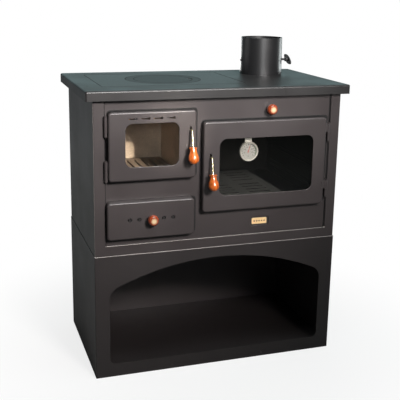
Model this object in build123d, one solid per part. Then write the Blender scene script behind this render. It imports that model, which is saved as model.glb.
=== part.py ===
from build123d import *
from math import cos, radians, sin, sqrt, tan
import os

# Solid-fuel cooking stove on a log store: firebox door, ash drawer and oven door in
# front, cast hob with a lift-out ring and lid, flue spigot with a turning damper.
# Millimetres. X to the right, Y to the back, Z up. The origin is on the floor, under
# the middle of the outermost sizes.

# ---- clearances ------------------------------------------------------------------
run_gap = 0.05          # radial, pins and shafts in their bores
part_gap = 0.4          # between pieces that move past each other
seat_gap = 0.3          # a moving piece over the face that it rests on
lip_step = 1.0          # short steps, chamfers and set-backs

# ---- layout of the front, from left to right -------------------------------------
side_overhang = 22.5    # hob past the casing
post_width = 31.0
fire_post_gap = 8.0
fire_door_width = 252.0
door_spacing = 22.0
oven_door_width = 386.0
oven_post_gap = 20.0
drawer_post_gap = 2.5
drawer_end_gap = 2.0    # drawer front's right end inside the firebox door's

# ---- layout of the front, from the floor up --------------------------------------
base_height = 376.0
drawer_rise = 51.0      # bottom of the drawer front over the base
drawer_height = 109.0
drawer_spacing = 60.5   # drawer front to firebox door
fire_door_height = 194.5
fire_door_drop = 59.0   # top of the door under the hob's top
oven_door_height = 266.0
oven_door_drop = 95.0

# ---- layout from front to back ---------------------------------------------------
front_overhang = 15.5
hob_depth = 450.0
back_overhang = 16.5

# ---- hob -------------------------------------------------------------------------
hob_rim = 27.0          # depth of the turned-down rim
hob_sheet = 3.0
hob_edge = 5.0          # rounding of the upper edge
hob_corner = 6.0        # rounding of the upright corners
hob_plate_width = 432.0
hob_plate_depth = 288.0
hob_plate_thick = 8.0
hob_plate_left = 65.0   # cast plate from the hob's left edge
hob_plate_back = 67.0   # and from its back edge
hob_plate_gap = 1.2     # expansion joint round the cast plate
hob_ledge = 12.0        # bearing of the plate on its ledge
hob_ledge_thick = 4.0
hob_ledge_weld = 14.0   # width of the ledge's bar outside the cut-out
ring_radius = 114.0
lid_radius = 89.0
ring_step = 8.5         # width of the stepped seats
ring_top = 4.0          # thickness of the upper step
ring_depth = 10.0
lifter_length = 12.0
lifter_width = 11.0
lifter_depth = 2.5

# ---- casing ----------------------------------------------------------------------
casing_sheet = 2.0
casing_bend = 3.0
back_return = 22.0
rail_height = 30.0
plate_setback = 6.0     # front plate behind the posts
front_plate_thick = 3.0

# ---- log store under the casing --------------------------------------------------
base_sheet = 3.0
base_bend = 2.4
base_flange = 24.0
base_lip = 1.5          # the base stands proud of the casing by this
base_floor_height = 20.0
arch_side = 41.0        # solid strip beside the opening
arch_sill = 40.0
arch_drop = 31.5        # crown of the arch under the top of the log store
arch_radius = 770.0
arch_sill_corner = 16.0
arch_shoulder = 38.0

# ---- doors and drawer front ------------------------------------------------------
front_proud = 18.0      # faces of doors and drawer in front of the posts
pan_wall = 3.0
pan_corner = 9.5
pan_edge = 5.0
pan_gap = 1.0           # back rim of the pans to the front plate
window_edge = 1.0
fire_window_margins = (47.5, 50.5, 39.0, 32.5)      # left, right, bottom, top
oven_window_margins = (49.0, 41.0, 46.5, 51.0)
fire_window_corner = 20.0
oven_window_corner = 22.0
glass_thick = 4.0
glass_margin = 8.0      # glass wider than its window, each side
clip_width = 16.0
clip_length = 14.0
clip_thick = 1.5
vent_count = 4
vent_pitch = 36.2
vent_length = 22.0
vent_height = 3.4
vent_corner = 1.5
vent_eye = 3.4          # radius of the round end
vent_drop = 19.0        # slots under the door's top edge
vent_inset = 56.0       # first slot from the door's left edge
opening_margin = 18.0   # front plate's openings inside the door edges

# ---- seal: channel and rope ------------------------------------------------------
channel_inset = 4.0
channel_width = 9.0
channel_depth = 12.0
groove_width = 6.0
groove_depth = 5.0
channel_corner = 6.0
rope_round = 1.5

# ---- hinges ----------------------------------------------------------------------
knuckle_radius = 5.0
hinge_pin_radius = 2.6
hinge_pin_head = 3.8
hinge_head_thick = 2.0
hinge_leaf = 3.0
hinge_tab = 6.0
hinge_forward = 6.0     # hinge line in front of the posts
fire_hinge_offset = 5.5
oven_hinge_offset = 13.5
fire_hinges = ((0.0, 57.0), (127.0, 56.0))          # rise over the door's bottom, height
oven_hinges = ((19.0, 52.0), (193.0, 52.0))

# ---- latches ---------------------------------------------------------------------
latch_pivot = 12.0      # pivot behind the door's face
latch_pin_radius = 4.0
latch_rod_radius = 2.8
latch_rod_thick = 4.0   # radius where the rod enters the grip
latch_out = 12.0        # the rod runs straight out this far
latch_bend = 7.0
latch_bend_run = 13.0   # hanging run up to where its taper starts
latch_lean = 13.0       # degrees, lower end outward
latch_exposed = 47.0    # rod from its bend to the grip
latch_drop = -8.0       # degrees, fully engaged
latch_lift = 28.0       # degrees, lifted
latch_ear = 3.0
latch_ear_start = 5.0
latch_play = 1.0
hook_thick = 3.0
hook_hub = 6.0
hook_tip = 4.0
hook_top = 6.0          # top of the hook over the pivot
hook_rise = 1.5         # top of the arm over the pivot
hook_arm = 5.0
catch_thick = 3.0
catch_height = 12.0
catch_reach = 2.0
catch_weld = 8.0
fire_latch_inset = 17.0
fire_latch_drop = 55.5
oven_latch_inset = 22.0
oven_latch_drop = 102.0
grip_flange = 11.5
grip_flange_thick = 3.5
grip_neck = 9.3
grip_bulb = 15.0        # radius of the round end
grip_bulb_at = 32.5
grip_bore = 36.0

# ---- wooden knobs ----------------------------------------------------------------
knob_radius = 15.5
knob_neck = 9.0
knob_face = 10.5
knob_length = 27.0
knob_belly = 17.0       # height of the widest point
knob_bore = 16.0
stud_radius = 3.0

# ---- ash drawer ------------------------------------------------------------------
ash_side_gap = 4.0
ash_box_height = 58.0
ash_box_rise = 15.0     # box bottom over the drawer front's bottom edge
ash_box_end_gap = 86.0  # behind the ash box
ash_sheet = 1.5
ash_inset = 22.0        # box sides inside the drawer front's ends
air_hole_radius = 6.0
air_hole_rise = 56.5    # holes over the drawer front's bottom edge
air_holes = (-63.5, -36.0, 36.0, 63.5)
air_rest = 8.5          # slider's holes to the left of the front's, at rest
slider_thick = 2.0
slider_width = 162.0
slider_height = 24.0
slider_travel = 9.0
guide_wall = 4.0
guide_lip = 4.0
guide_thick = 2.0
runner_sheet = 2.0
runner_flange = 20.0

# ---- firebox ---------------------------------------------------------------------
hearth_drop = 14.0      # firebox floor under the door's bottom edge
hearth_thick = 5.0
grate_thick = 10.0
grate_margin = 12.0     # grate wider than the hole under it
grate_slots = 8
grate_slot = 10.0       # width at the bottom
grate_slot_top = 7.0
grate_front = 34.0
grate_back = 30.0       # firebrick to the hole under the grate
brick_thick = 30.0
brick_height = 196.0
brick_front = 8.0
brick_side = 6.0        # brick face beside the front plate's opening
firebox_back_gap = 71.0  # way for the smoke behind the bricks
divider_thick = 3.0
divider_top = 60.0      # top of the divider under the hob's top

# ---- oven ------------------------------------------------------------------------
oven_sheet = 2.0
oven_back_gap = 37.0    # way for the smoke behind the oven
bead_radius = 3.0
bead_pair = 13.0
bead_low = 28.0         # lowest bead of each pair over the oven's floor
bead_high = 92.0
bead_front = 34.0
bead_back = 32.0
tray_width = 234.0
tray_back = 16.0
tray_thick = 2.0
tray_foot = 4.0
tray_foot_width = 12.0
tray_side = 34.0        # tray's left edge from the oven's left wall
tray_front = 40.0
tray_slot_length = 70.0
tray_slot_width = 6.0
tray_slot_pitch = 31.0
tray_slot_rows = 4
tray_group_gap = 53.0
tray_column_gap = 34.0

# ---- oven thermometer ------------------------------------------------------------
dial_radius = 29.0
dial_face = 24.0
dial_x = 143.0          # from the oven door's left edge
dial_drop = 93.5        # under the oven door's top edge
case_depth = 10.0
case_wall = 1.2
lens_thick = 1.0
dial_thick = 1.0
needle_length = 17.0
needle_tail = 5.7
needle_width = 1.8
needle_thick = 0.6
needle_hub = 2.2
needle_pin = 0.8
needle_angle = 17.0     # degrees from upright, clockwise
strap_width = 21.5
strap_thick = 1.2
strap_start = 22.0      # strap's lower end over the dial's middle

# ---- bypass valve ----------------------------------------------------------------
bypass_inset = 210.5    # rod from the oven door's left edge
bypass_drop = 66.5      # rod under the hob's top
bypass_rod_radius = 4.0
bypass_travel = 80.0
shelf_thick = 2.0
shelf_front = 200.0     # smoke shelf's front edge behind the posts
valve_width = 110.0
valve_depth = 96.0
valve_thick = 3.0
valve_lug = 6.0
port_margin = 8.0
port_front = 96.0       # port behind the shelf's front edge

# ---- flue spigot and damper ------------------------------------------------------
flue_right = 152.5      # axis from the hob's right edge
flue_back = 117.0       # and from its back edge
flue_bore = 65.0
flue_wall = 2.0
flue_taper = 1.6
flue_fit = 0.1          # radial, spigot in the hob
flue_rise = 118.0
flue_socket = 44.0      # depth to the pipe stop
flue_stop = 2.0
flue_stop_height = 3.0
flue_flange = 9.0
flue_flange_thick = 2.0
damper_rise = 45.0      # shaft over the hob's top
damper_radius = 61.5
damper_thick = 2.0
damper_shaft_radius = 3.5
damper_sleeve = 6.0
damper_sleeve_length = 70.0
damper_rest = 26.0      # degrees, back edge up
damper_left_end = 5.0   # shaft past the spigot's wall
damper_right_end = 27.0
paddle_length = 64.0
paddle_width = 22.0
paddle_thick = 5.0
paddle_tip = 5.5        # rounding of the leaf's ends
paddle_bevel = 1.2
paddle_boss = 7.0
paddle_boss_length = 8.0

# ---- badge -----------------------------------------------------------------------
badge_width = 48.0
badge_height = 18.5
badge_thick = 1.5
badge_inset = 189.0     # middle of the badge from the oven door's left edge
badge_rise = 67.0       # middle of the badge over the base
badge_corner = 3.0
badge_margin = 6.5      # dished field round the badge
badge_dish = 2.5        # depth of the dished field
badge_dish_corner = 9.0
badge_dish_round = 2.0  # rounding round the field's floor

# ---- sizes that follow -----------------------------------------------------------
lean = radians(latch_lean)
doors_width = fire_door_width + door_spacing + oven_door_width
casing_width = 2 * post_width + fire_post_gap + doors_width + oven_post_gap
hob_width = casing_width + 2 * side_overhang
hob_height = base_height + drawer_rise + drawer_height + drawer_spacing + fire_door_height + fire_door_drop
casing_depth = hob_depth - front_overhang - back_overhang
half = casing_width / 2
grip_reach = latch_out + (latch_exposed + grip_bulb_at) * sin(lean) + grip_bulb
front_reach = front_proud + grip_reach
y_post = (front_reach + front_overhang - hob_depth) / 2
y_hob = y_post - front_overhang + hob_depth / 2      # middle of the hob
y_back = y_post + casing_depth
y_plate = y_post + plate_setback
y_inside = y_plate + front_plate_thick
y_face = y_post - front_proud
y_panel = y_face + pan_wall                         # inner side of the door faces
y_rim = y_plate - pan_gap
z_under_hob = hob_height - hob_sheet
x_inside = half - casing_sheet

fire_x = (-half + post_width + fire_post_gap, -half + post_width + fire_post_gap + fire_door_width)
fire_z = (hob_height - fire_door_drop - fire_door_height, hob_height - fire_door_drop)
oven_x = (half - post_width - oven_post_gap - oven_door_width, half - post_width - oven_post_gap)
oven_z = (hob_height - oven_door_drop - oven_door_height, hob_height - oven_door_drop)
drawer_x = (-half + post_width + drawer_post_gap, fire_x[1] - drawer_end_gap)
drawer_z = (base_height + drawer_rise, base_height + drawer_rise + drawer_height)


def shrink(span, amount):
    """The span with both ends drawn in."""
    return (span[0] + amount, span[1] - amount)


def middle(span):
    return (span[0] + span[1]) / 2


def inside(x, z, margins):
    """The spans left inside a rectangle by left, right, bottom and top margins."""
    left, right, bottom, top = margins
    return (x[0] + left, x[1] - right), (z[0] + bottom, z[1] - top)


fire_open_x = shrink(fire_x, opening_margin)
fire_open_z = shrink(fire_z, opening_margin)
oven_open_x = shrink(oven_x, opening_margin)
oven_open_z = shrink(oven_z, opening_margin)
ash_x = shrink(drawer_x, ash_inset)
ash_z = (drawer_z[0] + ash_box_rise, drawer_z[0] + ash_box_rise + ash_box_height)
z_hearth = fire_z[0] - hearth_drop
x_divider = fire_open_x[1] + brick_side + brick_thick
y_back_panel = y_back - 2 * casing_sheet
y_firebox_back = y_back_panel - firebox_back_gap - brick_thick
y_ash_back = y_back_panel - ash_box_end_gap
hob_plate_x = -hob_width / 2 + hob_plate_left + hob_plate_width / 2
hob_plate_y = y_hob + hob_depth / 2 - hob_plate_back - hob_plate_depth / 2
bypass_x = oven_x[0] + bypass_inset
badge_x = oven_x[0] + badge_inset
flue_x = hob_width / 2 - flue_right
z_bypass = hob_height - bypass_drop
z_shelf = z_bypass - bypass_rod_radius - valve_thick - seat_gap
flue_outer = flue_bore + flue_wall
y_flue = y_hob + hob_depth / 2 - flue_back
z_damper = hob_height + damper_rise
fire_latch_x = fire_x[1] - fire_latch_inset
fire_latch_z = fire_z[1] - fire_latch_drop
oven_latch_x = oven_x[0] + oven_latch_inset
oven_latch_z = oven_z[1] - oven_latch_drop
y_pivot = y_face + latch_pivot
y_hinge = y_post - hinge_forward


# ---- helpers ---------------------------------------------------------------------
def block(x, y, z):
    """Box between pairs of (low, high) coordinates."""
    size = Box(x[1] - x[0], y[1] - y[0], z[1] - z[0])
    return Pos(middle(x), middle(y), middle(z)) * size


def front_prism(x, z, y, corner):
    """Rounded rectangle as seen from the front, between two depths."""
    plane = Plane(origin=(middle(x), y[0], middle(z)), x_dir=(1, 0, 0), z_dir=(0, 1, 0))
    return extrude(plane * RectangleRounded(x[1] - x[0], z[1] - z[0], corner), amount=y[1] - y[0])


def rod_x(radius, x, y, z):
    """Cylinder along X between two x values."""
    return Pos(middle(x), y, z) * Rot(0, 90, 0) * Cylinder(radius, x[1] - x[0])


def rod_y(radius, x, y, z):
    return Pos(x, middle(y), z) * Rot(90, 0, 0) * Cylinder(radius, y[1] - y[0])


def rod_z(radius, x, y, z):
    return Pos(x, y, middle(z)) * Cylinder(radius, z[1] - z[0])


def turned(points):
    """Solid of revolution about Z through (radius, height) points."""
    outline = Polyline(*[(radius, 0, height) for radius, height in points], close=True)
    return revolve(make_face(outline), Axis.Z)


def front_edges(solid):
    return solid.faces().sort_by(Axis.Y)[0].edges()


def group(solids):
    """Several separate solids of one node."""
    return Compound(children=list(solids))


# ---- log store -------------------------------------------------------------------
def arch_opening():
    """Flat outline of the log opening: upright sides under a wide arch."""
    left = -half + arch_side
    right = -left
    arch_top = base_height - arch_drop
    z_mid = arch_top - arch_radius
    rise = sqrt(arch_radius ** 2 - left ** 2) + z_mid
    sides = Polyline((left, 0, rise), (left, 0, arch_sill), (right, 0, arch_sill), (right, 0, rise))
    arch = ThreePointArc((right, 0, rise), (0, 0, arch_top), (left, 0, rise))
    face = make_face(sides + arch)
    corners = face.vertices().sort_by(Axis.Z)
    face = fillet(corners[:2], arch_sill_corner)
    shoulders = [v for v in face.vertices() if abs(v.Z - rise) < lip_step]
    return fillet(shoulders, arch_shoulder)


def make_base_front():
    """Front sheet of the log store with its arched opening."""
    x = (-half - base_lip, half + base_lip)
    y = (y_post - base_lip, y_post - base_lip + base_sheet)
    sheet = block(x, y, (0, base_height))
    uprights = sheet.edges().filter_by(Axis.Z).group_by(Axis.Y)[0]
    sheet = fillet(uprights, base_bend)
    outline = Pos(0, y[0] - lip_step, 0) * arch_opening()
    return sheet - extrude(outline, amount=base_sheet + 2 * lip_step, dir=(0, 1, 0))


def make_base_shell():
    """Sides and back of the log store in one bent sheet, with flanges under the casing."""
    x = (-half - base_lip, half + base_lip)
    y = (y_post - base_lip + base_sheet, y_back)
    outer = block(x, y, (0, base_height))
    back_uprights = outer.edges().filter_by(Axis.Z).group_by(Axis.Y)[-1]
    outer = fillet(back_uprights, base_bend)
    hollow_y = (y[0] - lip_step, y[1] - base_sheet)
    hollow = block(shrink(x, base_sheet), hollow_y, (-lip_step, base_height - base_sheet))
    hatch = block(shrink(x, base_flange), shrink(y, base_flange), (0, base_height + lip_step))
    return outer - hollow - hatch


def make_base_floor():
    """Floor of the log store, a tray with turned-down edges."""
    x = (-half - base_lip + base_sheet, half + base_lip - base_sheet)
    y = (y_post - base_lip + base_sheet, y_back - base_sheet)
    tray = block(x, y, (0, base_floor_height))
    hollow_z = (-lip_step, base_floor_height - casing_sheet)
    return tray - block(shrink(x, casing_sheet), shrink(y, casing_sheet), hollow_z)


# ---- casing ----------------------------------------------------------------------
def make_side_panel(side):
    """Side sheet with its front post and back return, side = -1 left or 1 right."""
    z = (base_height, z_under_hob)
    outer = block((0, half), (y_post, y_back), z)
    bends = outer.edges().filter_by(Axis.Z).group_by(Axis.X)[-1]
    outer = fillet(bends, casing_bend)
    hollow = block((-lip_step, x_inside), shrink((y_post, y_back), casing_sheet), z)
    front_gap = block((-lip_step, half - post_width), (y_post - lip_step, middle((y_post, y_back))), z)
    back_gap = block((-lip_step, half - back_return), (middle((y_post, y_back)), y_back + lip_step), z)
    panel = outer - hollow - front_gap - back_gap
    return panel if side > 0 else mirror(panel, Plane.YZ)


def make_back_panel():
    y = (y_back_panel, y_back - casing_sheet)
    return block((-x_inside, x_inside), y, (base_height, z_under_hob))


def make_casing_floor():
    """Floor between the log store and the fire side."""
    y = (y_inside, y_back_panel)
    return block((-x_inside, x_inside), y, (base_height, base_height + casing_sheet))


def make_bottom_rail():
    """Folded rail between the posts, under the front plate."""
    x = (-half + post_width, half - post_width)
    face = block(x, (y_post, y_post + casing_sheet), (base_height, base_height + rail_height))
    z_fold = (base_height + rail_height - casing_sheet, base_height + rail_height)
    return face + block(x, (y_post, y_plate), z_fold)


def make_front_plate():
    """Front plate with openings for the firebox, ash box and oven, dished for the badge."""
    y = (y_plate, y_inside)
    cut_y = (y_plate - lip_step, y_inside + lip_step)
    plate = block((-x_inside, x_inside), y, (base_height, z_under_hob))
    plate += badge_field(badge_margin + casing_sheet, (y_inside, y_inside + badge_dish))
    dish = badge_field(badge_margin, (y_plate - lip_step, y_plate + badge_dish))
    plate -= fillet(dish.faces().sort_by(Axis.Y)[-1].edges(), badge_dish_round)
    plate -= front_prism(fire_open_x, fire_open_z, cut_y, pan_corner)
    plate -= front_prism(oven_open_x, oven_open_z, cut_y, pan_corner)
    plate -= block(shrink(ash_x, -ash_side_gap), cut_y, shrink(ash_z, -ash_side_gap))
    plate -= rod_y(bypass_rod_radius + run_gap, bypass_x, cut_y, z_bypass)
    return plate


def badge_spans():
    x = (badge_x - badge_width / 2, badge_x + badge_width / 2)
    z = (base_height + badge_rise - badge_height / 2, base_height + badge_rise + badge_height / 2)
    return x, z


def badge_field(grow, y):
    """Rounded field round the badge, wider than it by grow."""
    x, z = badge_spans()
    return front_prism(shrink(x, -grow), shrink(z, -grow), y, badge_dish_corner)


def make_badge():
    """Plain name plate on the floor of its field, left bare."""
    x, z = badge_spans()
    floor = y_plate + badge_dish
    return front_prism(x, z, (floor - badge_thick, floor), badge_corner)


# ---- hob -------------------------------------------------------------------------
def hob_cutout(amount):
    """Plan of the cast plate's cut-out, drawn in by an amount."""
    x = (hob_plate_x - hob_plate_width / 2, hob_plate_x + hob_plate_width / 2)
    y = (hob_plate_y - hob_plate_depth / 2, hob_plate_y + hob_plate_depth / 2)
    return shrink(x, amount), shrink(y, amount)


def make_hob_frame():
    """Folded hob frame with a ledge under the cut-out for the cast plate."""
    x = (-hob_width / 2, hob_width / 2)
    y = (y_hob - hob_depth / 2, y_hob + hob_depth / 2)
    frame = block(x, y, (hob_height - hob_rim, hob_height))
    frame = fillet(frame.edges().filter_by(Axis.Z), hob_corner)
    frame = fillet(frame.faces().sort_by(Axis.Z)[-1].edges(), hob_edge)
    hollow_z = (hob_height - hob_rim - lip_step, z_under_hob)
    frame -= block(shrink(x, hob_sheet), shrink(y, hob_sheet), hollow_z)
    z_ledge = hob_height - hob_plate_thick
    frame += block(*hob_cutout(-hob_ledge_weld), (z_ledge - hob_ledge_thick, z_under_hob))
    frame -= block(*hob_cutout(-hob_plate_gap), (z_ledge, hob_height + lip_step))
    frame -= block(*hob_cutout(hob_ledge), (z_ledge - hob_ledge_thick - lip_step, hob_height))
    return frame - rod_z(flue_outer, flue_x, y_flue, (hob_height - hob_rim, hob_height + lip_step))


def make_hob_plate():
    """Cast plate with the stepped seat of its ring."""
    plate = block(*hob_cutout(0), (hob_height - hob_plate_thick, hob_height))
    plate = chamfer(plate.faces().sort_by(Axis.Z)[-1].edges(), lip_step)
    z_seat = hob_height - ring_top - seat_gap
    seat = rod_z(ring_radius + part_gap, 0, 0, (z_seat, hob_height + lip_step))
    hole = rod_z(ring_radius - ring_step + part_gap, 0, 0, (hob_height - 2 * hob_plate_thick, hob_height))
    return plate - Pos(hob_plate_x, hob_plate_y, 0) * (seat + hole)


def make_hob_ring():
    """Lift-out ring, stepped on both edges."""
    top = hob_height
    step = top - ring_top
    bottom = top - ring_depth
    inner = lid_radius + part_gap
    ring = turned([
        (inner, top), (ring_radius - lip_step, top), (ring_radius, top - lip_step),
        (ring_radius, step), (ring_radius - ring_step, step), (ring_radius - ring_step, bottom),
        (inner - ring_step, bottom), (inner - ring_step, step - seat_gap), (inner, step - seat_gap),
    ])
    return Pos(hob_plate_x, hob_plate_y, 0) * ring


def make_hob_lid():
    """Round lid with a notch for the lifter."""
    top = hob_height
    step = top - ring_top
    lid = turned([
        (0, top), (lid_radius - lip_step, top), (lid_radius, top - lip_step), (lid_radius, step),
        (lid_radius - ring_step, step), (lid_radius - ring_step, top - ring_depth), (0, top - ring_depth),
    ])
    notch_x = (lid_radius - lifter_length, lid_radius + lip_step)
    notch = block(notch_x, (-lifter_width / 2, lifter_width / 2), (top - lifter_depth, top + lip_step))
    return Pos(hob_plate_x, hob_plate_y, 0) * (lid - notch)


# ---- flue spigot and damper ------------------------------------------------------
def make_flue_spigot():
    """Spigot with a socket for the flue pipe down to a stop ring, and a flange under the hob."""
    top = hob_height + flue_rise
    stop = top - flue_socket
    under = z_under_hob - flue_flange_thick
    base = flue_outer - flue_fit
    flange = flue_outer + flue_flange
    narrow = flue_bore - flue_stop
    spigot = turned([
        (flue_bore, top), (flue_outer, top), (flue_outer + flue_taper, hob_height),
        (base, hob_height), (base, z_under_hob), (flange, z_under_hob), (flange, under),
        (flue_bore, under), (flue_bore, stop - flue_stop_height),
        (narrow, stop - flue_stop_height), (narrow, stop), (flue_bore, stop),
    ])
    reach = flue_outer + flue_taper + lip_step
    bores = rod_x(damper_shaft_radius + run_gap, (-reach, reach), 0, z_damper)
    return Pos(flue_x, y_flue, 0) * (spigot - bores)


def damper_frame(x):
    """Frame on the damper shaft at x, turned to the rest angle."""
    return Pos(x, y_flue, z_damper) * Rot(damper_rest, 0, 0)


def make_damper_shaft():
    x = (flue_x - flue_outer - damper_left_end, flue_x + flue_outer + damper_right_end)
    return rod_x(damper_shaft_radius, x, y_flue, z_damper)


def make_damper_disc():
    """Round plate on a sleeve round the shaft."""
    disc = Cylinder(damper_radius, damper_thick)
    sleeve = Rot(0, 90, 0) * Cylinder(damper_sleeve, damper_sleeve_length)
    bore = Rot(0, 90, 0) * Cylinder(damper_shaft_radius, 3 * damper_radius)
    return damper_frame(flue_x) * (disc + sleeve - bore)


def make_damper_handle():
    """Leaf-shaped handle across the shaft's end, on a short boss."""
    tip = paddle_length / 2
    leaf = make_face(ThreePointArc((-tip, 0), (0, paddle_width / 2), (tip, 0))
                     + ThreePointArc((tip, 0), (0, -paddle_width / 2), (-tip, 0)))
    leaf = fillet(leaf.vertices(), paddle_tip)
    upright = Plane(origin=(0, 0, 0), x_dir=(0, 1, 0), z_dir=(1, 0, 0))
    blade = extrude(upright * leaf, amount=paddle_thick)
    blade = chamfer(blade.faces().sort_by(Axis.X)[-1].edges(), paddle_bevel)
    boss = rod_x(paddle_boss, (-paddle_boss_length, 0), 0, 0)
    bore = rod_x(damper_shaft_radius, (-2 * paddle_boss_length, 0), 0, 0)
    end = flue_x + flue_outer + damper_right_end
    return damper_frame(end) * (blade + boss - bore)


# ---- bypass valve ----------------------------------------------------------------
def valve_spans(grow):
    x = (bypass_x - valve_width / 2 - grow, bypass_x + valve_width / 2 + grow)
    front = y_post + shelf_front + port_front
    return x, (front - grow, front + valve_depth + grow)


def make_smoke_shelf():
    """Shelf above the oven with the bypass port and guide strips beside the valve."""
    x = (x_divider + divider_thick, x_inside)
    y = (y_post + shelf_front, y_back_panel)
    shelf = block(x, y, (z_shelf - shelf_thick, z_shelf))
    valve_x, valve_y = valve_spans(0)
    port_z = (z_shelf - 2 * shelf_thick, z_shelf)
    shelf -= block(shrink(valve_x, port_margin), shrink(valve_y, port_margin), port_z)
    guide_y = (valve_y[0] - bypass_travel, valve_y[1])
    guide_z = (z_shelf, z_shelf + valve_thick + seat_gap)
    left = block((valve_x[0] - part_gap - guide_wall, valve_x[0] - part_gap), guide_y, guide_z)
    right = block((valve_x[1] + part_gap, valve_x[1] + part_gap + guide_wall), guide_y, guide_z)
    return shelf + left + right


def make_bypass_valve():
    """Sliding plate with the lug that holds the pull rod."""
    x, y = valve_spans(0)
    z = (z_shelf + seat_gap, z_shelf + seat_gap + valve_thick)
    lug_x = (bypass_x - bypass_rod_radius - valve_lug, bypass_x + bypass_rod_radius + valve_lug)
    lug = block(lug_x, (y[0], y[0] + 2 * valve_lug), (z[1], z_bypass + bypass_rod_radius + valve_lug / 2))
    bore = rod_y(bypass_rod_radius, bypass_x, (y[0] - lip_step, y[0] + 3 * valve_lug), z_bypass)
    return block(x, y, z) + lug - bore


def make_bypass_rod():
    valve_y = valve_spans(0)[1]
    y = (y_plate - part_gap - knob_bore, valve_y[0] + 2 * valve_lug)
    return rod_y(bypass_rod_radius, bypass_x, y, z_bypass)


# ---- knobs and grips -------------------------------------------------------------
def knob(bore_radius):
    """Turned knob on Z: neck at the bottom, full round, flat face on top."""
    belly = (knob_radius, 0, knob_belly)
    side = TangentArc(belly, (knob_neck, 0, 0), tangent=(0, 0, -1))
    crown = TangentArc(belly, (knob_face, 0, knob_length), tangent=(0, 0, 1))
    rest = Polyline((knob_face, 0, knob_length), (0, 0, knob_length), (0, 0, 0), (knob_neck, 0, 0))
    body = revolve(make_face(side + crown + rest), Axis.Z)
    return body - rod_z(bore_radius, 0, 0, (-lip_step, knob_bore))


def facing_front(x, y, z):
    """Frame whose Z points out of the front."""
    return Plane(origin=(x, y, z), x_dir=(1, 0, 0), z_dir=(0, -1, 0))


def make_bypass_knob():
    return facing_front(bypass_x, y_plate - part_gap, z_bypass) * knob(bypass_rod_radius)


def make_drawer_knob():
    place = facing_front(middle(drawer_x), y_face - part_gap, drawer_z[0] + air_hole_rise)
    return place * knob(stud_radius)


def grip():
    """Turned grip on Z from its flange at 0 down to its round end."""
    bulb = (grip_bulb, 0, grip_bulb_at)
    neck = (grip_neck, 0, grip_flange_thick + 2 * lip_step)
    halfway = (middle((grip_neck, grip_bulb)), 0, middle((neck[2], grip_bulb_at)))
    end = (0, 0, grip_bulb_at + grip_bulb)
    round_end = TangentArc(bulb, end, tangent=(0, 0, 1))
    shoulder = TangentArc(bulb, halfway, tangent=(0, 0, -1))
    waist = TangentArc(shoulder @ 1, neck, tangent=shoulder % 1)
    rest = Polyline(end, (0, 0, 0), (grip_flange - lip_step, 0, 0),
                    (grip_flange, 0, lip_step), (grip_flange, 0, grip_flange_thick), neck)
    return revolve(make_face(round_end + shoulder + waist + rest), Axis.Z)


# ---- latches ---------------------------------------------------------------------
def latch_corner(x, z):
    """Where the rod's straight run out meets its hanging run."""
    return Vector(x, y_face - latch_out, z)


def hanging_frame(x, z, distance):
    """Frame on the hanging run, its Z down along the rod."""
    down = Vector(0, -sin(lean), -cos(lean))
    return Plane(origin=latch_corner(x, z) + down * distance, x_dir=(1, 0, 0), z_dir=down)


def hook_spans(x, side):
    """X spans of the bracket's two ears and of the hook between them."""
    start = latch_ear_start
    spans = []
    for thick in (latch_ear, hook_thick, latch_ear):
        spans.append(tuple(sorted((x + side * start, x + side * (start + thick)))))
        start += thick + latch_play
    return spans


def make_latch(x, z, side):
    """Bent rod, cross pin and hook in one piece."""
    hook_x, last_ear = hook_spans(x, side)[1:]
    pin_end = last_ear[1] + latch_play if side > 0 else last_ear[0] - latch_play
    latch = rod_x(latch_pin_radius, tuple(sorted((x, pin_end))), y_pivot, z)
    bent = hanging_frame(x, z, latch_bend_run)
    path = FilletPolyline((x, y_pivot, z), latch_corner(x, z), bent.origin, radius=latch_bend)
    latch += sweep(facing_front(x, y_pivot, z) * Circle(latch_rod_radius), path=path)
    onward = (Align.CENTER, Align.CENTER, Align.MIN)
    taper_length = latch_exposed - latch_bend_run
    latch += bent * Cone(latch_rod_radius, latch_rod_thick, taper_length, align=onward)
    tang = Cylinder(latch_rod_thick, grip_bore, align=onward)
    latch += hanging_frame(x, z, latch_exposed) * tang
    return latch + make_hook(hook_x, z)


def make_hook(x, z):
    """Hook plate on the pivot, its tip turned up behind the catch."""
    lip_back = y_inside + catch_thick - y_pivot
    tip_start = lip_back + catch_reach
    upright = Plane(origin=(x[0], y_pivot, z), x_dir=(0, 1, 0), z_dir=(1, 0, 0))
    bottom = hook_rise - hook_arm
    tip_end = tip_start + hook_tip
    arm = make_face(Polyline((0, hook_rise), (tip_start, hook_rise), (tip_start, hook_top),
                             (tip_end, hook_top), (tip_end, bottom), (0, bottom), close=True))
    hub = extrude(upright * Circle(hook_hub), amount=hook_thick)
    return extrude(upright * arm, amount=hook_thick) + hub


def make_catch(x, z, side, seat):
    """Lip behind the front plate, from its seat at x = seat, that the hook's tip rises behind."""
    hook_x = hook_spans(x, side)[1]
    end = hook_x[1] + latch_play if side > 0 else hook_x[0] - latch_play
    bottom = z + hook_top + part_gap
    y = (y_inside, y_inside + catch_thick)
    return block(tuple(sorted((seat, end))), y, (bottom, bottom + catch_height))


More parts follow.
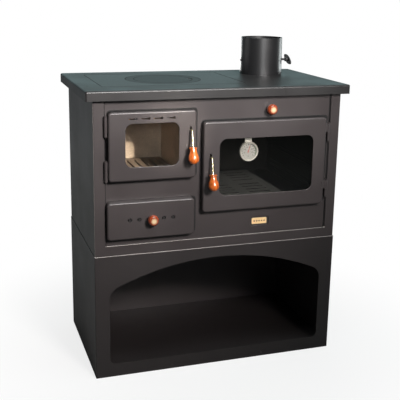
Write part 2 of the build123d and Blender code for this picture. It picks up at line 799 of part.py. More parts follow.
def make_latch_bracket(x, z, side):
    """U bracket inside the door: foot on the door's face, two ears with the pivot's bores."""
    first_ear, last_ear = hook_spans(x, side)[::2]
    span = (min(first_ear[0], last_ear[0]), max(first_ear[1], last_ear[1]))
    height = (z - hook_hub - lip_step, z + hook_hub + lip_step)
    y = (y_panel, y_pivot + latch_pin_radius + 2 * lip_step)
    bracket = block(span, y, height)
    between = (first_ear[1], last_ear[0]) if side > 0 else (last_ear[1], first_ear[0])
    bracket -= block(between, (y_panel + casing_sheet, y[1] + lip_step), shrink(height, -lip_step))
    return bracket - rod_x(latch_pin_radius + run_gap, shrink(span, -lip_step), y_pivot, z)


def make_grip(x, z):
    """Wooden grip on the hanging run, bored for the rod."""
    bore = rod_z(latch_rod_thick, 0, 0, (-lip_step, grip_bore))
    return hanging_frame(x, z, latch_exposed) * (grip() - bore)


def latch_slot(x, z):
    """Upright slot in the door's face, as tall as the rod's swing needs."""
    lift = radians(latch_lift)
    drop = radians(-latch_drop)
    top = latch_pivot * tan(lift) + latch_rod_radius / cos(lift) + part_gap
    bottom = latch_pivot * tan(drop) + latch_rod_radius / cos(drop) + part_gap
    wide = latch_rod_radius + part_gap
    return front_prism((x - wide, x + wide), (z - bottom, z + top), (y_face - lip_step, y_panel + lip_step),
                       wide - part_gap / 2)


# ---- doors -----------------------------------------------------------------------
def pan(x, z):
    """Pressed pan of a door or drawer front, open at the back."""
    outer = front_prism(x, z, (y_face, y_rim), pan_corner)
    outer = fillet(front_edges(outer), pan_edge)
    hollow_x, hollow_z = shrink(x, pan_wall), shrink(z, pan_wall)
    hollow = front_prism(hollow_x, hollow_z, (y_panel, y_rim + lip_step), pan_corner - pan_wall)
    hollow = fillet(front_edges(hollow), pan_edge - pan_wall)
    return outer - hollow


def window_cut(x, z, margins, corner):
    window_x, window_z = inside(x, z, margins)
    return front_prism(window_x, window_z, (y_face - lip_step, y_panel + lip_step), corner)


def soften_window(panel):
    """Small rounding on the front edge of the window, the longest inner outline."""
    outlines = panel.faces().sort_by(Axis.Y)[0].inner_wires()
    return fillet(outlines.sort_by(SortBy.LENGTH)[-1].edges(), window_edge)


def make_fire_panel():
    """Firebox door: window, a row of keyhole-ended air slots and the latch slot."""
    panel = pan(fire_x, fire_z) - window_cut(fire_x, fire_z, fire_window_margins, fire_window_corner)
    panel -= latch_slot(fire_latch_x, fire_latch_z)
    cut_y = (y_face - lip_step, y_panel + lip_step)
    z = fire_z[1] - vent_drop
    z_span = (z - vent_height / 2, z + vent_height / 2)
    for index in range(vent_count):
        left = fire_x[0] + vent_inset + index * vent_pitch
        panel -= front_prism((left, left + vent_length), z_span, cut_y, vent_corner)
        panel -= rod_y(vent_eye, left + vent_length, cut_y, z)
    return soften_window(panel)


def make_oven_panel():
    panel = pan(oven_x, oven_z) - window_cut(oven_x, oven_z, oven_window_margins, oven_window_corner)
    panel -= latch_slot(oven_latch_x, oven_latch_z)
    return soften_window(panel)


def make_glass(x, z, margins):
    """Ceramic glass behind the window."""
    glass_x, glass_z = [shrink(span, -glass_margin) for span in inside(x, z, margins)]
    return block(glass_x, (y_panel, y_panel + glass_thick), glass_z)


def make_clips(x, z, margins):
    """Four stepped clips that hold the glass, two over its top edge and two under it."""
    glass_x, glass_z = [shrink(span, -glass_margin) for span in inside(x, z, margins)]
    clips = []
    quarter = (glass_x[1] - glass_x[0]) / 4
    for centre in (glass_x[0] + quarter, glass_x[1] - quarter):
        span = (centre - clip_width / 2, centre + clip_width / 2)
        for edge, away in ((glass_z[0], -1), (glass_z[1], 1)):
            foot = tuple(sorted((edge, edge + away * clip_length / 2)))
            tongue = tuple(sorted((edge - away * clip_length / 2, edge)))
            raised = (y_panel + glass_thick, y_panel + glass_thick + clip_thick)
            clips.append(block(span, (y_panel, raised[1]), foot) + block(span, raised, tongue))
    return group(clips)


def seal_outline(x, z, inset, y, corner):
    return front_prism(shrink(x, inset), shrink(z, inset), y, corner)


def make_channel(x, z):
    """Channel for the rope seal, welded inside the door's pan."""
    y = (y_panel, y_panel + channel_depth)
    wall = (channel_width - groove_width) / 2
    ring = seal_outline(x, z, channel_inset, y, channel_corner)
    ring = fillet(front_edges(ring), pan_edge - pan_wall)
    ring -= seal_outline(x, z, channel_inset + channel_width, (y[0] - lip_step, y[1] + lip_step), lip_step)
    groove_y = (y[1] - groove_depth, y[1] + lip_step)
    groove = seal_outline(x, z, channel_inset + wall, groove_y, channel_corner - wall)
    groove -= seal_outline(x, z, channel_inset + wall + groove_width, groove_y, lip_step + wall)
    return ring - groove


def make_rope(x, z):
    """Rope seal from the channel's groove to the front plate."""
    wall = (channel_width - groove_width) / 2
    y = (y_panel + channel_depth - groove_depth, y_plate - seat_gap)
    rope = seal_outline(x, z, channel_inset + wall, y, channel_corner - wall)
    rope -= seal_outline(x, z, channel_inset + wall + groove_width, shrink(y, -lip_step), lip_step + wall)
    return fillet(rope.faces().sort_by(Axis.Y)[-1].edges(), rope_round)


# ---- hinges ----------------------------------------------------------------------
def hinge_spans(door_bottom, hinges):
    """Lower and upper knuckle heights of each hinge."""
    for rise, height in hinges:
        low = door_bottom + rise
        split = low + height / 2
        yield (low, split - part_gap / 2), (split + part_gap / 2, low + height)


def frame_knuckles(x, door_bottom, hinges):
    """Lower knuckles with a leaf back to the front plate."""
    for low, high in hinge_spans(door_bottom, hinges):
        leaf = block((x - hinge_leaf / 2, x + hinge_leaf / 2), (y_hinge, y_plate), low)
        knuckle = rod_z(knuckle_radius, x, y_hinge, low) + leaf
        yield knuckle - rod_z(hinge_pin_radius + run_gap, x, y_hinge, shrink(low, -lip_step))


def door_knuckles(x, door_side, door_bottom, hinges):
    """Upper knuckles with a tab on the door's side."""
    knuckles = []
    for low, high in hinge_spans(door_bottom, hinges):
        tab = block(tuple(sorted((x, door_side))), (y_hinge - hinge_tab / 2, y_hinge + hinge_tab / 2), high)
        knuckle = rod_z(knuckle_radius, x, y_hinge, high) + tab
        knuckles.append(knuckle - rod_z(hinge_pin_radius + run_gap, x, y_hinge, shrink(high, -lip_step)))
    return group(knuckles)


def hinge_pins(x, door_bottom, hinges):
    """Headed pins, each under its lower knuckle and over its upper one."""
    for low, high in hinge_spans(door_bottom, hinges):
        foot = (low[0] - hinge_head_thick, low[0])
        head = (high[1] + part_gap, high[1] + part_gap + hinge_head_thick)
        shank = rod_z(hinge_pin_radius, x, y_hinge, (low[0], head[0]))
        yield shank + rod_z(hinge_pin_head, x, y_hinge, foot) + rod_z(hinge_pin_head, x, y_hinge, head)


fire_hinge_x = fire_x[0] - fire_hinge_offset
oven_hinge_x = oven_x[1] + oven_hinge_offset


def make_hinge_brackets():
    fire = frame_knuckles(fire_hinge_x, fire_z[0], fire_hinges)
    oven = frame_knuckles(oven_hinge_x, oven_z[0], oven_hinges)
    return group([*fire, *oven])


def make_hinge_pins():
    fire = hinge_pins(fire_hinge_x, fire_z[0], fire_hinges)
    oven = hinge_pins(oven_hinge_x, oven_z[0], oven_hinges)
    return group([*fire, *oven])


# ---- ash drawer ------------------------------------------------------------------
def slider_spans():
    x_mid = middle(drawer_x)
    z_mid = drawer_z[0] + air_hole_rise
    z = (z_mid - slider_height / 2, z_mid + slider_height / 2)
    return (x_mid - slider_width / 2, x_mid + slider_width / 2), z


def make_drawer_front():
    """Drawer front with four air holes, the knob's slot and the slider's guides inside."""
    front = pan(drawer_x, drawer_z)
    cut_y = (y_face - lip_step, y_panel + lip_step)
    x_mid, z_mid = middle(drawer_x), drawer_z[0] + air_hole_rise
    for offset in air_holes:
        front -= rod_y(air_hole_radius, x_mid + offset, cut_y, z_mid)
    wide = stud_radius + part_gap
    slot_x = (x_mid - slider_travel - wide, x_mid + slider_travel + wide)
    front -= front_prism(slot_x, (z_mid - wide, z_mid + wide), cut_y, wide - part_gap / 2)
    slider_x, slider_z = slider_spans()
    guide_x = shrink(slider_x, -slider_travel)
    lip_y = (y_panel + 2 * seat_gap + slider_thick, y_panel + 2 * seat_gap + slider_thick + guide_thick)
    for edge, away in ((slider_z[0], -1), (slider_z[1], 1)):
        inner = edge + away * part_gap
        outer = inner + away * guide_wall
        front += block(guide_x, (y_panel, lip_y[1]), tuple(sorted((inner, outer))))
        front += block(guide_x, lip_y, tuple(sorted((edge - away * guide_lip, outer))))
    return front


def make_air_slider():
    """Sliding shutter with its own four holes and the knob's stud."""
    x, z = slider_spans()
    y = (y_panel + seat_gap, y_panel + seat_gap + slider_thick)
    slider = block(x, y, z)
    x_mid, z_mid = middle(x), middle(z)
    for offset in air_holes:
        slider -= rod_y(air_hole_radius, x_mid + offset - air_rest, shrink(y, -lip_step), z_mid)
    return slider + rod_y(stud_radius, x_mid, (y_face - part_gap - knob_bore, y[1]), z_mid)


def make_ash_box():
    """Folded ash box, its low front wall under the slider's guides."""
    y = (y_panel, y_ash_back)
    box = block(ash_x, y, ash_z)
    hollow_z = (ash_z[0] + ash_sheet, ash_z[1] + lip_step)
    box -= block(shrink(ash_x, ash_sheet), shrink(y, ash_sheet), hollow_z)
    guides_bottom = slider_spans()[1][0] - part_gap - guide_wall
    gate_z = (guides_bottom - lip_step, ash_z[1] + lip_step)
    return box - block(shrink(ash_x, ash_sheet), (y[0] - lip_step, y[0] + 2 * ash_sheet), gate_z)


def make_drawer_runners():
    """Two folded runners that stand on the casing floor under the ash box."""
    z = (base_height + casing_sheet, ash_z[0] - seat_gap)
    y = (y_inside, y_ash_back)
    runners = []
    for edge, inward in ((ash_x[0], 1), (ash_x[1], -1)):
        outer = edge - inward * part_gap
        web = block(tuple(sorted((outer, outer + inward * runner_sheet))), y, z)
        flange_x = tuple(sorted((outer, outer + inward * runner_flange)))
        runners.append(web + block(flange_x, y, (z[1] - runner_sheet, z[1])))
    return group(runners)


# ---- firebox ---------------------------------------------------------------------
def grate_spans(grow):
    x = shrink(fire_open_x, grate_margin - grow)
    y = (y_inside + grate_front - grow, y_firebox_back - grate_back + grow)
    return x, y


def make_hearth_plate():
    """Floor of the firebox with the hole under the grate."""
    x = (-x_inside, x_divider)
    y = (y_inside, y_back_panel)
    hole_x, hole_y = grate_spans(0)
    plate = block(x, y, (z_hearth - hearth_thick, z_hearth))
    return plate - block(hole_x, hole_y, (z_hearth - 2 * hearth_thick, z_hearth + lip_step))


def make_grate():
    """Cast grate: long slots, tapering wider downwards so that ash falls clear."""
    x, y = grate_spans(grate_margin / 2)
    grate = block(x, y, (z_hearth, z_hearth + grate_thick))
    slot_span = y[1] - y[0] - 4 * grate_margin
    pitch = (x[1] - x[0] - grate_margin) / grate_slots
    for index in range(grate_slots):
        centre = x[0] + grate_margin / 2 + (index + 0.5) * pitch
        top = Pos(centre, middle(y), z_hearth + grate_thick) * Rectangle(grate_slot_top, slot_span)
        bottom = Pos(centre, middle(y), z_hearth) * Rectangle(grate_slot, slot_span)
        grate -= loft([bottom, top])
    return grate


def make_firebricks():
    """Left, right and back lining bricks, stood on the hearth plate."""
    z = (z_hearth, z_hearth + brick_height)
    side_y = (y_inside + brick_front, y_firebox_back)
    left_x = fire_open_x[0] - brick_side
    right_x = fire_open_x[1] + brick_side
    seam = middle(side_y)
    bricks = []
    for y in ((side_y[0], seam - lip_step / 2), (seam + lip_step / 2, side_y[1])):
        bricks.append(block((left_x - brick_thick, left_x), y, z))
        bricks.append(block((right_x, right_x + brick_thick), y, z))
    back_y = (y_firebox_back, y_firebox_back + brick_thick)
    bricks.append(block((left_x - brick_thick, right_x + brick_thick), back_y, z))
    softened = [chamfer(brick.faces().sort_by(Axis.Z)[-1].edges(), lip_step) for brick in bricks]
    return group(softened)


def make_divider():
    """Upright wall between the firebox and the oven."""
    z = (base_height + casing_sheet, hob_height - divider_top)
    return block((x_divider, x_divider + divider_thick), (y_inside, y_back_panel), z)


# ---- oven ------------------------------------------------------------------------
def oven_inside():
    """Spans of the oven's clear space."""
    return oven_open_x, (y_inside, y_back_panel - oven_back_gap), oven_open_z


def make_oven_box():
    """Oven liner, open to the front plate."""
    x, y, z = oven_inside()
    outer = block(shrink(x, -oven_sheet), (y[0], y[1] + oven_sheet), shrink(z, -oven_sheet))
    return outer - block(x, (y[0] - lip_step, y[1]), z)


def make_oven_runners():
    """Pairs of half-round beads on both walls, each pair a track for a tray."""
    x, y, z = oven_inside()
    length = (y[0] + bead_front, y[1] - bead_back)
    beads = []
    for level in (bead_low, bead_high):
        for height in (z[0] + level, z[0] + level + bead_pair):
            z_span = (height - 2 * bead_radius, height + 2 * bead_radius)
            for wall, inward in ((x[0], 1), (x[1], -1)):
                bead = rod_y(bead_radius, wall, length, height)
                keep_x = tuple(sorted((wall, wall + inward * 2 * bead_radius)))
                beads.append(bead & block(keep_x, shrink(length, -lip_step), z_span))
    return group(beads)


def make_oven_tray():
    """Slotted plate on two feet, two columns of slots in two groups of rows."""
    x, y, z = oven_inside()
    left = x[0] + tray_side
    tray_y = (y[0] + tray_front, y[1] - tray_back)
    top = z[0] + tray_foot + tray_thick
    tray = block((left, left + tray_width), tray_y, (z[0] + tray_foot, top))
    for foot_x in (left, left + tray_width - tray_foot_width):
        tray += block((foot_x, foot_x + tray_foot_width), tray_y, (z[0], z[0] + tray_foot))
    group_length = (tray_slot_rows - 1) * tray_slot_pitch
    first = middle(tray_y) - group_length - tray_group_gap / 2
    column = (tray_slot_length + tray_column_gap) / 2
    slot = extrude(SlotOverall(tray_slot_length, tray_slot_width), amount=3 * tray_thick)
    for start in (first, first + group_length + tray_group_gap):
        for row in range(tray_slot_rows):
            for x_mid in (left + tray_width / 2 - column, left + tray_width / 2 + column):
                tray -= Pos(x_mid, start + row * tray_slot_pitch, top - 2 * tray_thick) * slot
    return tray


# ---- thermometer -----------------------------------------------------------------
thermo_x = oven_x[0] + dial_x
thermo_z = oven_z[1] - dial_drop
y_case = y_panel + glass_thick + clip_thick + part_gap
dial_depth = case_depth - case_wall - 2 * lip_step    # dial's face behind the case's front


def thermo_frame(depth):
    """Frame on the dial's axis, depth behind the case's front, Z to the viewer."""
    return facing_front(thermo_x, y_case + depth, thermo_z)


def make_thermometer_case():
    """Round cup with a rolled bezel, on a strap that hangs from the door's face."""
    floor = case_wall - case_depth
    shelf = -case_wall - lens_thick
    cup = turned([
        (0, -case_depth), (dial_radius - lip_step, -case_depth), (dial_radius, lip_step - case_depth),
        (dial_radius, -lip_step), (dial_radius - lip_step, 0), (dial_face, -lip_step / 2),
        (dial_face, shelf), (dial_face + lip_step, shelf), (dial_face + lip_step, floor), (0, floor),
    ])
    window_top = oven_z[1] - oven_window_margins[3]
    strap_top = window_top + glass_margin + 2 * clip_length
    strap_x = (thermo_x - strap_width / 2, thermo_x + strap_width / 2)
    strap_y = (y_case + case_depth - strap_thick, y_case + case_depth)
    strap = block(strap_x, strap_y, (thermo_z + strap_start, strap_top))
    strap += block(strap_x, (y_panel, strap_y[1]), (strap_top - strap_thick, strap_top))
    return thermo_frame(0) * cup + strap


def make_thermometer_dial():
    """Dial plate in the cup."""
    dial = rod_z(dial_face + lip_step, 0, 0, (-dial_thick, 0))
    pin = rod_z(needle_pin, 0, 0, (-dial_thick, seat_gap + needle_thick))
    return thermo_frame(dial_depth) * (dial + pin)


def make_thermometer_needle():
    """Pointer with a short tail, on the dial's pin."""
    wide = needle_width / 2
    narrow = needle_width / 4
    blade = make_face(Polyline((-wide, -needle_tail), (wide, -needle_tail),
                               (narrow, needle_length), (-narrow, needle_length), close=True))
    needle = extrude(blade, amount=needle_thick) + rod_z(needle_hub, 0, 0, (0, needle_thick))
    needle -= rod_z(needle_pin + run_gap, 0, 0, (-lip_step, needle_thick + lip_step))
    return thermo_frame(dial_depth - seat_gap) * Rot(0, 0, -needle_angle) * needle


def make_thermometer_lens():
    """Lens seated behind the bezel."""
    lens = rod_z(dial_face + lip_step, 0, 0, (-lens_thick, 0))
    return thermo_frame(case_wall + lens_thick) * lens


parts = {
    "base_front": make_base_front(),
    "base_shell": make_base_shell(),
    "base_floor": make_base_floor(),
    "side_panel_left": make_side_panel(-1),
    "side_panel_right": make_side_panel(1),
    "back_panel": make_back_panel(),
    "casing_floor": make_casing_floor(),
    "bottom_rail": make_bottom_rail(),
    "front_plate": make_front_plate(),
    "badge": make_badge(),
    "hob_frame": make_hob_frame(),
    "hob_plate": make_hob_plate(),
    "hob_ring": make_hob_ring(),
    "hob_lid": make_hob_lid(),
    "flue_spigot": make_flue_spigot(),
    "damper_shaft": make_damper_shaft(),
    "damper_disc": make_damper_disc(),
    "damper_handle": make_damper_handle(),
    "smoke_shelf": make_smoke_shelf(),
    "bypass_valve": make_bypass_valve(),
    "bypass_rod": make_bypass_rod(),
    "bypass_knob": make_bypass_knob(),
    "hearth_plate": make_hearth_plate(),
    "grate": make_grate(),
    "firebricks": make_firebricks(),
    "divider": make_divider(),
    "oven_box": make_oven_box(),
    "oven_runners": make_oven_runners(),
    "oven_tray": make_oven_tray(),
    "hinge_brackets": make_hinge_brackets(),
    "hinge_pins": make_hinge_pins(),
    "fire_catch": make_catch(fire_latch_x, fire_latch_z, -1, fire_open_x[1] + catch_weld),
    "oven_catch": make_catch(oven_latch_x, oven_latch_z, 1, oven_open_x[0]),
    "drawer_front": make_drawer_front(),
    "ash_box": make_ash_box(),
    "drawer_runners": make_drawer_runners(),
    "air_slider": make_air_slider(),
    "drawer_knob": make_drawer_knob(),
    "fire_door_panel": make_fire_panel(),
    "fire_door_glass": make_glass(fire_x, fire_z, fire_window_margins),
    "fire_glass_clips": make_clips(fire_x, fire_z, fire_window_margins),
    "fire_seal_channel": make_channel(fire_x, fire_z),
    "fire_seal_rope": make_rope(fire_x, fire_z),
    "fire_door_hinges": door_knuckles(fire_hinge_x, fire_x[0], fire_z[0], fire_hinges),
    "fire_latch_bracket": make_latch_bracket(fire_latch_x, fire_latch_z, -1),
    "fire_latch": make_latch(fire_latch_x, fire_latch_z, -1),
    "fire_grip": make_grip(fire_latch_x, fire_latch_z),
    "oven_door_panel": make_oven_panel(),
    "oven_door_glass": make_glass(oven_x, oven_z, oven_window_margins),
    "oven_glass_clips": make_clips(oven_x, oven_z, oven_window_margins),
    "oven_seal_channel": make_channel(oven_x, oven_z),
    "oven_seal_rope": make_rope(oven_x, oven_z),
    "oven_door_hinges": door_knuckles(oven_hinge_x, oven_x[1], oven_z[0], oven_hinges),
    "oven_latch_bracket": make_latch_bracket(oven_latch_x, oven_latch_z, 1),
    "oven_latch": make_latch(oven_latch_x, oven_latch_z, 1),
    "oven_grip": make_grip(oven_latch_x, oven_latch_z),
    "thermometer_case": make_thermometer_case(),
    "thermometer_dial": make_thermometer_dial(),
    "thermometer_needle": make_thermometer_needle(),
    "thermometer_lens": make_thermometer_lens(),
}

os.makedirs("parts", exist_ok=True)
for name, solid in parts.items():
    export_step(solid, os.path.join("parts", name + ".step"))
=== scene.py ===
from math import cos, pi, radians, sin

import bmesh
import bpy
from bpy.props import FloatProperty, FloatVectorProperty, IntProperty, PointerProperty
from bpy.types import Operator, Panel, PropertyGroup
from mathutils import Matrix, Vector


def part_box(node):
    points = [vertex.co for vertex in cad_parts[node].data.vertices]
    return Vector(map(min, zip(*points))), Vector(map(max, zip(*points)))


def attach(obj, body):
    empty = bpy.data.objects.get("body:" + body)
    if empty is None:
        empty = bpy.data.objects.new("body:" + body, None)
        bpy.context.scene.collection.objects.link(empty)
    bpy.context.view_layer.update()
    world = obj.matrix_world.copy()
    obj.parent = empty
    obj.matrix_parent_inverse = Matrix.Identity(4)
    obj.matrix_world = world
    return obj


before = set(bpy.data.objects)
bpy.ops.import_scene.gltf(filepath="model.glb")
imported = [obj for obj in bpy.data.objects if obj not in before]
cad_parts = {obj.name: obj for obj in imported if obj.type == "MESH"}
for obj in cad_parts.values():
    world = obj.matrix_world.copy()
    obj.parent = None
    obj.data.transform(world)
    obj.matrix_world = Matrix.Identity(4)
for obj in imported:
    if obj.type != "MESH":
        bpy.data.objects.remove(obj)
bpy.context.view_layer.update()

bl_info = {
    "name": "Wood burning cook stove",
    "version": (1, 0, 0),
    "blender": (4, 5, 0),
    "location": "View3D > Sidebar > Stove",
    "description": "Finishes and small fittings of a cook stove, round its construction model",
    "category": "Add Mesh",
}

MM = 0.001
USUAL = {"ShaderNodeMix": {"data_type": "RGBA"}}  # every Mix node here mixes two colours
SHARE, UNDER, OVER = 0, 6, 7  # and these are its inputs
# turns that point a rivet's crown to the front, the back and the top
FRONT, BACK, TOP = (pi / 2, 0.0, 0.0), (-pi / 2, 0.0, 0.0), (0.0, 0.0, 0.0)
hob_middle = sum(corner.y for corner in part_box("hob_frame")) / 2


def linear(code):
    """sRGB hex colour as linear red, green, blue and alpha."""
    channels = [int(code[i:i + 2], 16) / 255 for i in (1, 3, 5)]
    flat = [c / 12.92 if c <= 0.04045 else ((c + 0.055) / 1.055) ** 2.4 for c in channels]
    return (*flat, 1.0)


def shade(name, description, code):
    """Colour property with an sRGB hex default."""
    return FloatVectorProperty(name=name, description=description, subtype="COLOR", size=4,
                               min=0.0, max=1.0, default=linear(code))


def number(name, description, value, **kind):
    """Number property; kind holds its bounds, unit and subtype."""
    return FloatProperty(name=name, description=description, default=value, **kind)


def length(name, description, millimetres):
    return number(name, description, millimetres * MM, min=0.0, unit="LENGTH",
                  subtype="DISTANCE", precision=5)


def angle(name, description, degrees):
    return number(name, description, radians(degrees), subtype="ANGLE")


def watts(name, description, power):
    return number(name, description, power, min=0.0, unit="POWER")


def count(name, description, value):
    return IntProperty(name=name, description=description, default=value, min=2)


# ---- settings --------------------------------------------------------------------
class StoveFinishes(PropertyGroup):
    """Colours of the paints, metals, wood and lining."""
    casing: shade("Casing paint", "Heat-proof paint of casing, doors and base", "#393434")
    hob: shade("Hob paint", "Heat-proof paint of the folded hob frame", "#201f1f")
    hob_iron: shade("Hob iron", "Painted cast plate of the hob", "#222121")
    hob_lid: shade("Ring and lid", "Blackened iron of the hob's ring and lid", "#121111")
    flue: shade("Flue paint", "Black heat-proof paint of spigot and damper", "#171718")
    lining: shade("Inner steel", "Bare mild steel inside the doors and the firebox", "#6d6b69")
    grate: shade("Grate iron", "Cast iron of the grate under a film of ash", "#8b7d70")
    brick: shade("Firebrick", "Vermiculite lining bricks", "#d6c9bc")
    oven: shade("Oven enamel", "Dark enamel of the oven liner", "#0e0e10")
    tray: shade("Tray enamel", "Grey enamel of the oven tray", "#4c4f51")
    wood: shade("Grip wood", "Stained beech of the latch grips", "#cb661a")
    wood_dark: shade("Wood grain", "Darker grain of the stained beech", "#93400f")
    knob: shade("Knob wood", "Redder stain of the two knobs", "#a2441c")
    knob_dark: shade("Knob grain", "Darker grain of the knobs", "#72280f")
    # painted highlight: pale colour of the spot in the middle of each knob's face
    knob_highlight: shade("End grain", "Pale polished end grain in the knobs' faces", "#d2bb94")
    rod: shade("Latch rods", "Pale brass plating of the latch rods", "#e6d9b4")
    badge: shade("Badge", "Gold lacquer of the name plate", "#f4d29c")
    badge_stud: shade("Name plate studs", "Dark enamel of the studs on the name plate", "#5a3d22")
    # painted shade: black for the shadow gaps round the doors, beside the posts and round the hob's
    # parts, and for the door pans' rims
    gap_shade: shade("Gasket", "Graphite-black gaskets and putty in the joints", "#060606")
    # painted highlight: pale colour of the beads along the front edges of rail, base and left post
    edge_highlight: shade("Rubbed edge", "Paint rubbed down to pale steel along the front edges", "#8f8a86")
    rope: shade("Rope seal", "Glass-fibre rope in the doors", "#b9b4a8")
    dial: shade("Dial", "White print of the thermometer's dial", "#a8acae")
    dial_ink: shade("Dial ink", "Black print on the dial", "#2b2b2b")
    dial_green: shade("Baking range", "Green arc on the dial", "#4f8f57")
    needle: shade("Needle", "Red of the thermometer's needle", "#b3261e")


class StoveFittings(PropertyGroup):
    """Sizes of the small fittings."""
    rivet_radius: length("Rivet radius", "Radius of a rivet's head", 3.2)
    rivet_height: length("Rivet height", "Height of a rivet's head", 1.4)
    screw_radius: length("Screw radius", "Radius of a countersunk screw's head on the hob", 3.6)
    back_pitch: length("Rivet spacing", "Spacing of the rivets round the back panel", 96.0)
    # painted shade: the next four set the black bands and beads that stand for shadow gaps
    gap_shade_top: length("Gasket shows", "Gasket seen past a door's top", 3.5)
    gap_shade_right: length("Gasket at the right", "Gasket seen past a door's right edge", 10.0)
    post_shade_radius: length("Putty bead", "Radius of the black bead beside the posts", 1.6)
    joint_shade_width: length("Hob joint", "Width of the black putty round plate, ring and lid", 2.0)
    # painted highlight: radius of the pale beads along the front edges
    highlight_radius: length("Rubbed edge", "Radius of the rubbed edge of rail and base", 1.1)
    seam_width: length("Seam width", "Width of the ground weld on the hob's front rim", 1.6)
    seam_place: length("Seam place", "Weld from the hob's right end", 210.0)
    plate_corner: length("Name plate corner", "Radius of the name plate's corners", 3.0)
    border_radius: length("Border bead", "Radius of the bead round the name plate", 0.5)
    border_inset: length("Border inset", "Bead inside the name plate's edge", 1.4)
    ticks: count("Dial ticks", "Bold ticks round the dial", 13)
    numerals: count("Dial numerals", "Numbers round the dial", 6)


class StoveStage(PropertyGroup):
    """Camera, lights and floor."""
    eye: FloatVectorProperty(name="Camera place", description="Where the camera stands",
                             subtype="XYZ", unit="LENGTH",
                             default=(-0.7510, hob_middle - 2.2635, 1.1353))
    yaw: angle("Yaw", "Camera turned to the right", 18.52)
    pitch: angle("Pitch", "Camera tilted up", -13.56)
    roll: angle("Roll", "Camera turned anticlockwise", 0.99)
    lens: number("Lens", "Focal length in millimetres", 69.58, min=1.0)
    shift_x: number("Shift right", "Lens shift, in frame widths", -0.0026)
    shift_y: number("Shift up", "Lens shift, in frame widths", -0.075)
    key: watts("Key light", "Power of the gridded softbox in front, at the upper right", 16.8)
    grid: angle("Grid", "Width of the key light's beam", 46.0)
    top: watts("Top light", "Power of the softbox overhead", 28.0)
    back: watts("Back light", "Power of the wide cool softbox behind", 18.0)
    side: watts("Side light", "Power of the low softbox behind the left side", 1.8)
    left: watts("Left light", "Power of the softbox on the left side", 7.5)
    right: watts("Right light", "Power of the softbox on the right side", 20.0)
    rear: watts("Rear light", "Power of the low softbox on the back", 34.0)
    strip: watts("Strip light", "Power of the upright softbox that models the flue", 0.95)
    strip_grid: angle("Strip grid", "Width of the strip light's beam", 16.0)
    beam: watts("Beam", "Power of the spotlight through the fire door's window", 1900.0)
    cone: angle("Cone", "Width of the spotlight's beam", 2.2)
    ambient: number("Ambient", "Brightness of the room round the object", 0.08, min=0.0)
    backdrop: shade("Backdrop", "Colour of the room behind the object", "#ffffff")
    floor: shade("Floor", "Pale painted floor", "#f4f4f2")


# ---- helpers ---------------------------------------------------------------------
def add(tree, kind, inputs=None, **settings):
    """Adds a node. An input is a value, a socket, or a node, which gives its first output."""
    node = tree.nodes.new(kind)
    for name, value in (USUAL.get(kind, {}) | settings).items():
        setattr(node, name, value)
    for name, value in (inputs or {}).items():
        if isinstance(value, bpy.types.Node):
            value = next(socket for socket in value.outputs if socket.enabled)
        if isinstance(value, bpy.types.NodeSocket):
            tree.links.new(value, node.inputs[name])
        else:
            node.inputs[name].default_value = value
    return node


def cells(millimetres):
    """Texture scale on metre coordinates for a pattern of this size."""
    return 1.0 / (millimetres * MM)


def scaled(colour, factor):
    """The colour made lighter or darker, for the second tone of a pattern."""
    return (*(min(1.0, c * factor) for c in colour[:3]), 1.0)


def cleared(owner):
    """The emptied node tree of a new material or world."""
    owner.use_nodes = True
    owner.node_tree.nodes.clear()
    return owner.node_tree


def start_finish(name):
    """New material, its tree and the Object coordinates that its patterns lie on."""
    material = bpy.data.materials.new(name)
    tree = cleared(material)
    return material, tree, add(tree, "ShaderNodeTexCoord").outputs["Object"]


def end_finish(material, inputs, gloss=None, relief=None):
    """Closes the material with one Principled shader, its constants set on its own sockets.

    gloss is a pattern and the roughness at its two ends. relief is a pattern, its strength
    and its depth in millimetres.
    """
    tree = material.node_tree
    if gloss:
        pattern, smooth, rough = gloss
        inputs["Roughness"] = add(tree, "ShaderNodeMapRange", {
            "Value": pattern, "To Min": smooth, "To Max": rough})
    if relief:
        pattern, strength, depth = relief
        inputs["Normal"] = add(tree, "ShaderNodeBump", {
            "Height": pattern, "Strength": strength, "Distance": depth * MM})
    shader = add(tree, "ShaderNodeBsdfPrincipled", inputs)
    add(tree, "ShaderNodeOutputMaterial", {"Surface": shader})
    return material


def dress(material, *names):
    """Gives CAD nodes their finish."""
    for name in names:
        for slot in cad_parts[name].material_slots:
            slot.material = material


def placed(name, data):
    """New object in the scene for a mesh, curve, light or camera."""
    thing = bpy.data.objects.new(name, data)
    bpy.context.scene.collection.objects.link(thing)
    return thing


def new_piece(name, mesh, material, body):
    """Puts a finished mesh in the scene as a piece that rides on a body."""
    mesh.materials.clear()
    mesh.materials.append(material)
    piece = placed(name, mesh)
    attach(piece, body)


def plain_mesh(maker):
    """The evaluated shape of an object as a plain mesh in the frame; the object goes."""
    bpy.context.view_layer.update()
    graph = bpy.context.evaluated_depsgraph_get()
    mesh = bpy.data.meshes.new_from_object(maker.evaluated_get(graph))
    mesh.transform(maker.matrix_world)
    bpy.data.objects.remove(maker)
    return mesh


